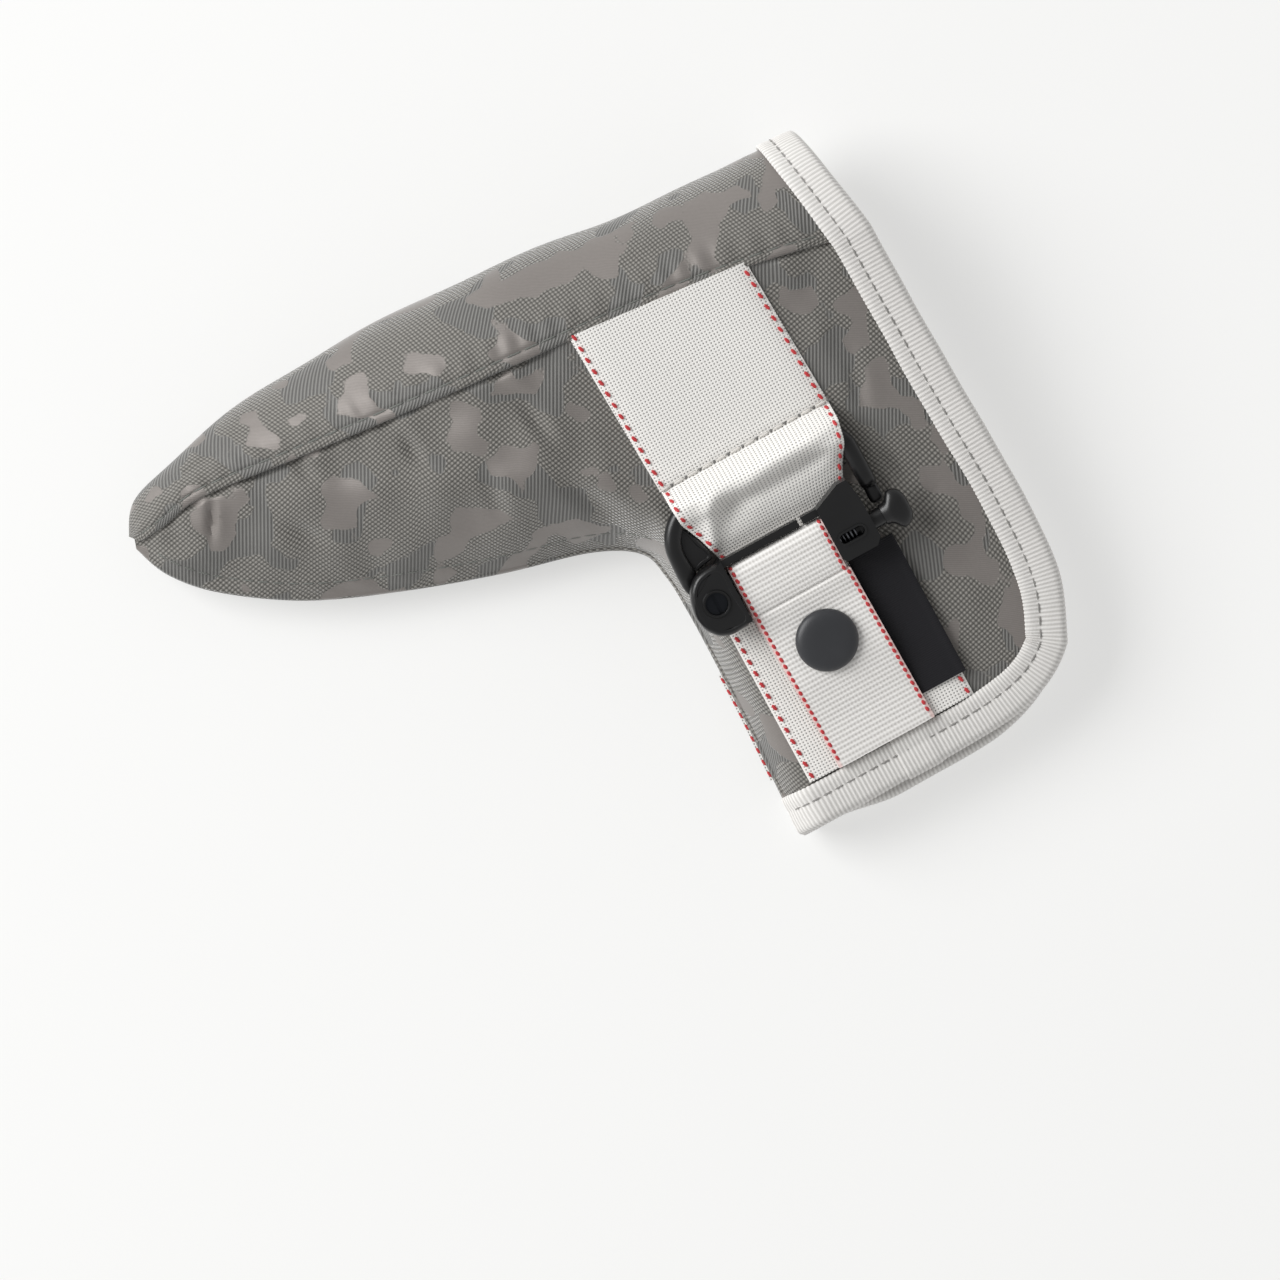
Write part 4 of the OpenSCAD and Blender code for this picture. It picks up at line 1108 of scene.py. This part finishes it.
def strap_webbing():
    """Pale ribs with fine threads along the strap, painted shade in the furrows, and rosy edges."""
    f = Finish("strap_webbing", linear(228, 225, 220), 0.66, sheen_weight=0.1)
    vector, u, v, _ = f.place()
    furrow = 1 - v.wave(STRAP_RIB)
    yarn = u.wave(0.9)
    fibre = f.noise(vector, 0.4, 3.0, 0.6)
    edge = (u * u).step(11.3**2, 12.0**2)
    # Painted shade: the furrows, and the yarn lines in them, are darkened towards the dark colour below.
    tone = furrow * 0.34 + furrow * yarn * 0.3 + fibre * 0.25
    pale = f.blend(tone, linear(255, 253, 250), linear(176, 172, 167))
    f.drive("Base Color", f.blend(edge * 0.45, pale, linear(232, 170, 165)))
    f.drive("Roughness", 0.6 + fibre * 0.2)
    f.bump(yarn * 0.7 + fibre * 0.3, 0.07, 0.6)
    return f


STRAP = strap_webbing()
dress(snap_strap, STRAP, "strap", ["snap_strap"])
top = np.arange(8, int(np.argmax(strap_line[:, 0])) - 2)
spots = strap_line[top] + off[top, 0] * (STRAP_T / 2 - STRAP_FLOAT_SINK)
up = on_front(0.0, off[top, 0, 0], off[top, 0, 1]) - on_front(0, 0, 0)
for side, float_x in (("left", strap_left + STRAP_FLOAT_IN), ("right", strap_right - STRAP_FLOAT_IN)):
    line = on_front(float_x[top], spots[:, 0], spots[:, 1])
    floats = beads(f"snap_strap_{side}_floats", line, up, *STRAP_FLOAT)
    dress(floats, RED_THREAD, "strap")

# %% [markdown]
# ## Label, leg tape and snap
# The label is a bare woven tab. The leg's seam holds a thin tape whose red edge shows along the side. The
# snap's cap is turned: rings of one radius and height each, joined into a skin.

# %% Label
LABEL_LEFT, LABEL_RIGHT, LABEL_FOOT, LABEL_HEAD = 42.9, 55.2, -59.5, -22.6
LABEL_Q, LABEL_T = 1.6, 0.5


def label_cloth():
    """Dense black satin with fine cross ribs."""
    f = Finish("label", linear(22, 21, 25), 0.6, specular_ior_level=0.3)
    vector, u, v, _ = f.place()
    ribs = v.wave(0.5) * 0.6 + (u + v).wave(0.37) * 0.4
    fibre = f.noise(vector, 0.5, 3.0, 0.6)
    f.drive("Base Color", f.blend(ribs * 0.5 + fibre * 0.5, linear(10, 10, 13), linear(34, 33, 38)))
    f.drive("Roughness", 0.5 + fibre * 0.25)
    f.bump(ribs, 0.08, 0.7)
    return f


LABEL = label_cloth()
p = np.linspace(up_slope(LABEL_FOOT), up_slope(LABEL_HEAD), 70)
sag = 0.12 * np.sin(p / 5.1)[:, None] + 0.25 * smooth((ACROSS - 0.8) / 0.2)
label = slab("label_tab_cloth", LABEL_LEFT, LABEL_RIGHT, p, LABEL_Q, LABEL_T, sag)
dress(label, LABEL, replaces=["label_tab"])

# %% Leg tape
LEG_FROM, LEG_TO = 10.2, 12.0
LEG_TAPE_OUT, LEG_TAPE_IN, LEG_TAPE_T = 1.5, 3.0, 0.6
LEG_FLOAT_IN, LEG_FLOAT_UP = 0.4, 0.35
edge = along(INNER_EDGE, np.linspace(LEG_FROM, LEG_TO, 60))
inset = np.linspace(-LEG_TAPE_OUT, LEG_TAPE_IN, 9)[None, :]
strip = stacked(edge[:, :1] + inset, edge[:, 1:2], SEAM_Z)
leg_uv = stacked(inset, lengths(edge)[:, None]) * MM
half = UP * LEG_TAPE_T / 2
leg_tape = shell("leg_seam_tape_webbing", strip + half, strip - half, leg_uv)
dress(leg_tape, WEBBING, replaces=["leg_seam_tape"])
line = stacked(edge[:, 0] + (LEG_FLOAT_IN - LEG_TAPE_OUT), edge[:, 1], SEAM_Z + LEG_FLOAT_UP)
floats = beads("leg_seam_floats", line, np.broadcast_to(UP, line.shape), *LEG_FLOAT)
dress(floats, RED_THREAD)

# %% Rings, and solids made of stacks of rings
def ovals(centre, side, up, a, b, sides=32, power=2.0):
    """Rings on the front: centre + side * a * cos + up * b * sin, squared off by a power above 2."""
    turn = np.linspace(0, 2 * math.pi, sides, endpoint=False)
    c, n = (np.sign(w) * np.abs(w) ** (2 / power) for w in (np.cos(turn), np.sin(turn)))
    a, b = (np.broadcast_to(np.asarray(r, float), len(centre))[:, None] for r in (a, b))
    side, up = (np.broadcast_to(np.asarray(d, float), centre.shape)[:, None] for d in (side, up))
    ring = centre[:, None] + side * (a * c)[..., None] + up * (b * n)[..., None]
    return on_front(ring[..., 0], ring[..., 1], ring[..., 2])


DIAL = 96
DIAL_TURN = np.linspace(-math.pi, math.pi, DIAL, endpoint=False)


def dial(x, p, rings):
    """Rings about a centre on the front, from pairs of a radius (or one for each side) and a height."""
    radius = np.stack([np.broadcast_to(r, DIAL) for r, _ in rings])
    q = np.array([height for _, height in rings])[:, None]
    return on_front(x + radius * np.cos(DIAL_TURN), p + radius * np.sin(DIAL_TURN), q)


def outline_radius(outline, x, p):
    """How far an outline on the table lies from a centre, at even angles, with its corners eased."""
    loop = even(np.array([*outline, outline[0]], float), 0.1)
    dx, dp = loop[:, 0] - x, up_slope(loop[:, 1]) - p
    radius = np.interp(DIAL_TURN, np.arctan2(dp, dx), np.hypot(dx, dp), period=2 * math.pi)
    return sum(np.roll(radius, k) for k in range(-2, 3)) / 5


def solid(name, stacks, sharp=35):
    """One mesh from stacks of rings, each closed by lids; a stack that ends where it began is a tube."""
    points, faces, count = [], [], 0
    for rings in stacks:
        tube = np.allclose(rings[0], rings[-1])
        rings = rings[:-1] if tube else rings
        flat = rings.reshape(-1, 3)
        faces.append(outwards(flat, skin(*rings.shape[:2], tube)) + count)
        points.append(flat)
        count += len(flat)
    return piece(name, np.concatenate(points), np.concatenate(faces), sharp=sharp)


print("turned parts have", DIAL, "sides")

# %% Snap cap and hidden metal
def painted(name, colour, roughness, grain, coat=0.0):
    """Moulded or painted black: even colour, a fine grain, and patches that shine a little more."""
    f = Finish(name, colour, roughness, coat_weight=coat, coat_roughness=0.3, specular_ior_level=0.5)
    vector, *_ = f.place("Object")
    fine = f.noise(vector, grain, 3.0, 0.6)
    patch = f.noise(vector, 6.0, 2.0)
    f.drive("Base Color", f.blend(patch, tuple(0.9 * c for c in colour), tuple(1.12 * c for c in colour)))
    f.drive("Roughness", roughness - 0.06 + patch * 0.1 + fine * 0.04)
    f.bump(fine, 0.03, 0.5)
    return f


def bare_metal(name, colour, roughness):
    """Plated metal with faint turning marks."""
    f = Finish(name, colour, roughness, metallic=1.0)
    vector, *_ = f.place("Object")
    marks = f.noise(vector, 0.5, 4.0, 0.6)
    f.drive("Roughness", roughness - 0.08 + marks * 0.16)
    return f


SNAP_PAINT = painted("snap_paint", linear(50, 51, 54), 0.42, 0.25)
PLASTIC = painted("clip_plastic", linear(17, 17, 18), 0.34, 0.35, 0.1)
NICKEL = bare_metal("snap_metal", linear(196, 194, 188), 0.3)
STEEL = bare_metal("steel", linear(120, 122, 126), 0.35)
DARK_STEEL = bare_metal("dark_steel", linear(46, 48, 52), 0.42)
# Each ring of the cap: radius and height.
CAP = [[5.6, 5.75], [7.2, 5.8], [7.5, 6.1], [7.52, 6.5], [7.4, 6.95], [7.1, 7.35], [6.6, 7.68], [5.9, 7.92],
       [5.0, 8.08], [3.6, 8.2], [1.8, 8.26], [0.3, 8.28]]
dress(solid("snap_cap_button", [dial(SNAP_X, SNAP_P, CAP)]), SNAP_PAINT, "strap", ["snap_cap"])
BARE = {
    "snap_socket": NICKEL, "snap_stud": NICKEL, "snap_rivet": NICKEL,
    "front_magnet": STEEL, "back_magnet": STEEL, "clip_pivot_pin": DARK_STEEL,
}
for node, finish in BARE.items():
    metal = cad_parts[node].data.materials
    metal.clear()
    metal.append(finish.material)
    print(node, "finished as", finish.material.name)

# %% [markdown]
# ## Locking clip
# The clip's frame keeps the shape of its CAD node: a copy of that mesh is merged, its flat faces
# are rejoined, and a Bevel modifier rounds the edges as a mould would. The bow is swept: each ring has a
# place, a width and a height, and the limb is drawn through all of them. The button is turned, then
# spread sideways. The spring is a coil of wire round the button's axis.

# %% Frame and pivot
def rounded_copy(name, node, radius):
    """A copy of a node's mesh, with merged points, whole flat faces and rounded edges."""
    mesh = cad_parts[node].data.copy()
    work = bmesh.new()
    work.from_mesh(mesh)
    bmesh.ops.remove_doubles(work, verts=work.verts, dist=1e-6)
    bmesh.ops.dissolve_limit(work, angle_limit=math.radians(1), verts=work.verts, edges=work.edges)
    work.to_mesh(mesh)
    work.free()
    mesh.polygons.foreach_set("use_smooth", np.ones(len(mesh.polygons), bool))
    mesh.set_sharp_from_angle(angle=math.radians(35))
    made = bpy.data.objects.new(name, mesh)
    bpy.context.scene.collection.objects.link(made)
    bevel = made.modifiers.new("round", "BEVEL")
    bevel.width = radius * MM
    bevel.segments = 3
    bevel.limit_method = "ANGLE"
    bevel.angle_limit = math.radians(35)
    bevel.harden_normals = True
    print(name, len(mesh.polygons), "flat faces")
    return made


dress(rounded_copy("clip_frame_body", "clip_frame", 0.4), PLASTIC, "strap", ["clip_frame"])
PIVOT_X, PIVOT_P = 10.8, up_slope(-16.2)
EAR = [
    [14.9, -8.0], [11.6, -7.9], [9.0, -8.7], [6.9, -10.6], [5.6, -13.3], [4.9, -16.9],
    [5.5, -20.6], [7.6, -23.4], [10.7, -24.6], [16.3, -24.2], [16.3, -11.4], [15.9, -8.7]]
edge = outline_radius(EAR, PIVOT_X, PIVOT_P)
EAR_RINGS = [
    [edge - 0.9, 5.25], [edge, 5.9], [edge, 8.2], [edge - 0.2, 8.8], [edge - 0.55, 9.25],
    [edge - 1, 9.45], [edge - 1.35, 9.45], [edge - 1.6, 9.3], [edge - 1.75, 9.1], [3.5, 9.1],
    [3.4, 9.7], [3.25, 9.95], [2.95, 9.95], [2.75, 9.7], [2.7, 8.5]]
dress(solid("clip_ear_lip", [dial(PIVOT_X, PIVOT_P, EAR_RINGS)]), PLASTIC, "strap")

# %% Bow
EYE_Q, EYE_T, EYE_R, EYE_ROUND, PIN_R = 2.9, 2.0, 4.2, 0.3, 1.55
EYE_TOP, EYE_MIDDLE = EYE_Q + EYE_T, EYE_Q + EYE_T / 2
BOW_LEFT, BOW_RIGHT, BOW_TOP = 7.9, 55.9, up_slope(6.3)
BOW_ROUND, BOW_CORNER, CORNER_SKIP = 10.0, 6.0, math.degrees(0.1)
BOW_D, BOW_Q, TONGUE_Q = 4.2, 3.8, 3.0


def bow_corner(x, radius, degrees):
    """Rings round a corner of the bow, about a centre that lies one radius under the top."""
    turn = np.radians(degrees)
    return stacked(x + radius * np.cos(turn), BOW_TOP - radius * (1 - np.sin(turn)), BOW_Q, BOW_D, BOW_D)


# Each ring: x, place up the slope, height off the front, width and thickness.
bow_rings = np.concatenate([
    [[PIVOT_X - 1.6, PIVOT_P + 1.4, EYE_MIDDLE, BOW_D, EYE_T],
     [PIVOT_X - 2.9, PIVOT_P + 5.6, EYE_MIDDLE, BOW_D, EYE_T],
     [BOW_LEFT, PIVOT_P + 8.4, BOW_Q, BOW_D + 0.4, BOW_D]],
    bow_corner(BOW_LEFT + BOW_ROUND, BOW_ROUND, range(180, 89, -15)),
    bow_corner(BOW_RIGHT - BOW_CORNER, BOW_CORNER, [90 - CORNER_SKIP, *range(75, -1, -15)]),
    [[BOW_RIGHT, up_slope(-8.0), BOW_Q, BOW_D, BOW_D],
     [BOW_RIGHT, up_slope(-10.5), TONGUE_Q, 3.4, 2.2],
     [BOW_RIGHT, up_slope(-13.2), TONGUE_Q, 3.4, 2.2],
     [BOW_RIGHT, up_slope(-14.0), TONGUE_Q, 2.7, 1.8],
     [BOW_RIGHT, up_slope(-14.4), TONGUE_Q, 1.3, 0.9]]])
limb = along(bow_rings, np.linspace(0, len(bow_rings) - 1, 140))
heading = unit(np.gradient(limb[:, :2], axis=0))
side = np.stack([heading[:, 1], -heading[:, 0], 0 * heading[:, 0]], -1)
limb_rings = ovals(limb[:, :3], side, (0, 0, 1), limb[:, 3] / 2, limb[:, 4] / 2, 28, 2.6)
EYE = [
    [EYE_R - EYE_ROUND, EYE_Q], [EYE_R, EYE_Q + EYE_ROUND], [EYE_R, EYE_TOP - EYE_ROUND],
    [EYE_R - EYE_ROUND, EYE_TOP], [PIN_R, EYE_TOP], [PIN_R, EYE_Q], [EYE_R - EYE_ROUND, EYE_Q]]
WEB_PLATE = [
    [8.4, -8.6], [8.2, -4], [8.8, 0], [10.4, 2.6], [11.7, 3.2], [12.6, 1.5], [14, -1.6],
    [15.2, -5.2], [15.4, -7.2], [12.8, -7.6]]
PLATE_X, PLATE_P = 11.6, up_slope(-3.4)
edge = outline_radius(WEB_PLATE, PLATE_X, PLATE_P)
PLATE_RINGS = [
    [edge, 2.9], [edge, 3.9], [edge - 0.3, 4.25], [edge - 0.9, 4.25], [edge - 1.1, 4.05], [0.5, 4.0]]
bow = solid("clip_bow_limb", [limb_rings, dial(PIVOT_X, PIVOT_P, EYE), dial(PLATE_X, PLATE_P, PLATE_RINGS)])
dress(bow, PLASTIC, "bow", ["clip_bow"])

# %% Button
BUTTON_P, BUTTON_Q, HEAD_Q = up_slope(-17.2), 5.7, 6.8
# Each ring: x, height of its middle, half width and half thickness.
BUTTON = np.array([
    [47.95, BUTTON_Q, 1.9, 1.9], [48.85, BUTTON_Q, 1.9, 1.9], [48.86, BUTTON_Q, 2.7, 2.7],
    [50.15, BUTTON_Q, 2.7, 2.7], [50.16, BUTTON_Q, 2.2, 2.2], [55.1, BUTTON_Q, 2.2, 2.2],
    [55.2, 6.0, 2.6, 2.3], [56.4, HEAD_Q - 0.3, 2.75, 2.3], [57.1, HEAD_Q, 3.3, 2.2],
    [57.7, HEAD_Q, 4.2, 2.2], [58.3, HEAD_Q, 4.8, 2.2], [58.9, HEAD_Q, 5.0, 2.2],
    [59.6, HEAD_Q, 4.9, 2.15], [60.6, HEAD_Q, 4.4, 2.0], [61.4, HEAD_Q, 3.5, 1.7],
    [61.85, HEAD_Q, 2.2, 1.1], [61.9, HEAD_Q, 0.6, 0.3]])
centre = stacked(BUTTON[:, 0], BUTTON_P, BUTTON[:, 1])
stack = ovals(centre, (0, 1, 0), (0, 0, 1), BUTTON[:, 2], BUTTON[:, 3], 40, 2.3)
dress(solid("clip_button_spool", [stack]), PLASTIC, "button", ["clip_button"])

# %% Spring
COIL_FROM, COIL_TO, COIL_R, COIL_WIRE, COIL_TURNS = 43.25, 48.35, 2.45, 0.25, 5
turn = np.linspace(0, 2 * math.pi * COIL_TURNS, 24 * COIL_TURNS + 1)
out = stacked(0.0, np.cos(turn), np.sin(turn))
centre = out * COIL_R + stacked(np.linspace(COIL_FROM, COIL_TO, len(turn)), BUTTON_P, BUTTON_Q)
coil = solid("button_spring_coil", [ovals(centre, out, (1, 0, 0), COIL_WIRE, COIL_WIRE, 8)])
dress(coil, STEEL, "", ["button_spring"])
ends = [(on_front(x, BUTTON_P, BUTTON_Q) - MIDDLE) * MM for x in (COIL_FROM, COIL_TO)]
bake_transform(coil)

# %% [markdown]

# %% [markdown]
# ## Floor, light and camera
# The sky is brighter near the horizon than overhead, as in a tent of white cloth with a camera in its
# roof, so rounded sides and glossy edges catch more light than flat tops. One large soft lamp from the
# left gives the shadow. The floor is a light table: part of its brightness is its own glow, which keeps
# the shadow pale. The camera looks straight down from far away through a long lens, turned so that the
# cover lies across the frame as it does in the picture.

# %% Floor, sky and lamp
FLOOR_HALF, FLOOR_Z, FLOOR_GLOW = 3000.0, -0.05, 0.55
SKY_LOW, SKY_HIGH = 0.76, 0.26
KEY_PLACE, KEY_SIZE, KEY_POWER = (-1.02, 1.08, 1.3), 1.3, 39.0


def floor():
    """A wide flat square just under the cover, with a faint mottle and a glow."""
    glow = {"emission_color": (1.0, 1.0, 0.99, 1), "emission_strength": FLOOR_GLOW}
    f = Finish("floor", linear(165, 165, 164), 0.9, **glow)
    vector, *_ = f.place("Object")
    f.drive("Base Color", f.blend(f.noise(vector, 90.0, 3.0), linear(164, 164, 163), linear(166, 166, 165)))
    t = np.array([-FLOOR_HALF, FLOOR_HALF])
    points = stacked(t[:, None], t[None, :], FLOOR_Z)
    made = piece("floor", points, quads(2, 2)[:, ::-1])
    made.data.materials.append(f.material)


def sky():
    """A white sky whose strength falls from the horizon to the point overhead."""
    world = bpy.data.worlds.new("studio")
    bpy.context.scene.world = world
    world.use_nodes = True
    nodes, links = world.node_tree.nodes, world.node_tree.links
    parts = nodes.new("ShaderNodeSeparateXYZ")
    links.new(nodes.new("ShaderNodeTexCoord").outputs["Generated"], parts.inputs[0])
    fall = nodes.new("ShaderNodeMapRange")
    fall.inputs["To Min"].default_value = SKY_LOW
    fall.inputs["To Max"].default_value = SKY_HIGH
    links.new(parts.outputs["Z"], fall.inputs["Value"])
    back = nodes["Background"]
    back.inputs["Color"].default_value = (1.0, 1.0, 1.0, 1)
    links.new(fall.outputs["Result"], back.inputs["Strength"])


def lamp(name, place, size, power):
    """A square soft lamp that points at the cover."""
    data = bpy.data.lights.new(name, "AREA")
    data.size = size
    data.energy = power
    made = bpy.data.objects.new(name, data)
    made.location = place
    aim = -made.location
    made.rotation_euler = aim.to_track_quat("-Z", "Y").to_euler()
    bpy.context.scene.collection.objects.link(made)


floor()
sky()
lamp("key", KEY_PLACE, KEY_SIZE, KEY_POWER)
print("sky from", SKY_LOW, "at the horizon to", SKY_HIGH, "overhead")

# %% Camera
# The picture is FRAME_WIDTH wide at the height of FRAME_LEVEL over the table.
FRAME_WIDTH, FRAME_LEVEL = 303.3 * MM, 0.02
CAMERA_HEIGHT, LENS_A_METRE = 2.2, 50
CAMERA_TURN = math.radians(-28.7)
LOOK_AT = (np.array([-9.1, -16.6, 0.0]) - MIDDLE) * MM
camera_data = bpy.data.cameras.new("camera")
camera_data.lens = LENS_A_METRE * CAMERA_HEIGHT
camera_data.sensor_width = FRAME_WIDTH * camera_data.lens / (CAMERA_HEIGHT - FRAME_LEVEL)
camera = bpy.data.objects.new("camera", camera_data)
camera.location = (LOOK_AT[0], LOOK_AT[1], CAMERA_HEIGHT)
camera.rotation_euler = (0, 0, CAMERA_TURN)
bpy.context.scene.collection.objects.link(camera)
bpy.context.scene.camera = camera
bpy.context.scene.view_settings.view_transform = "Standard"
print("camera over", [round(float(x), 4) for x in LOOK_AT[:2]])
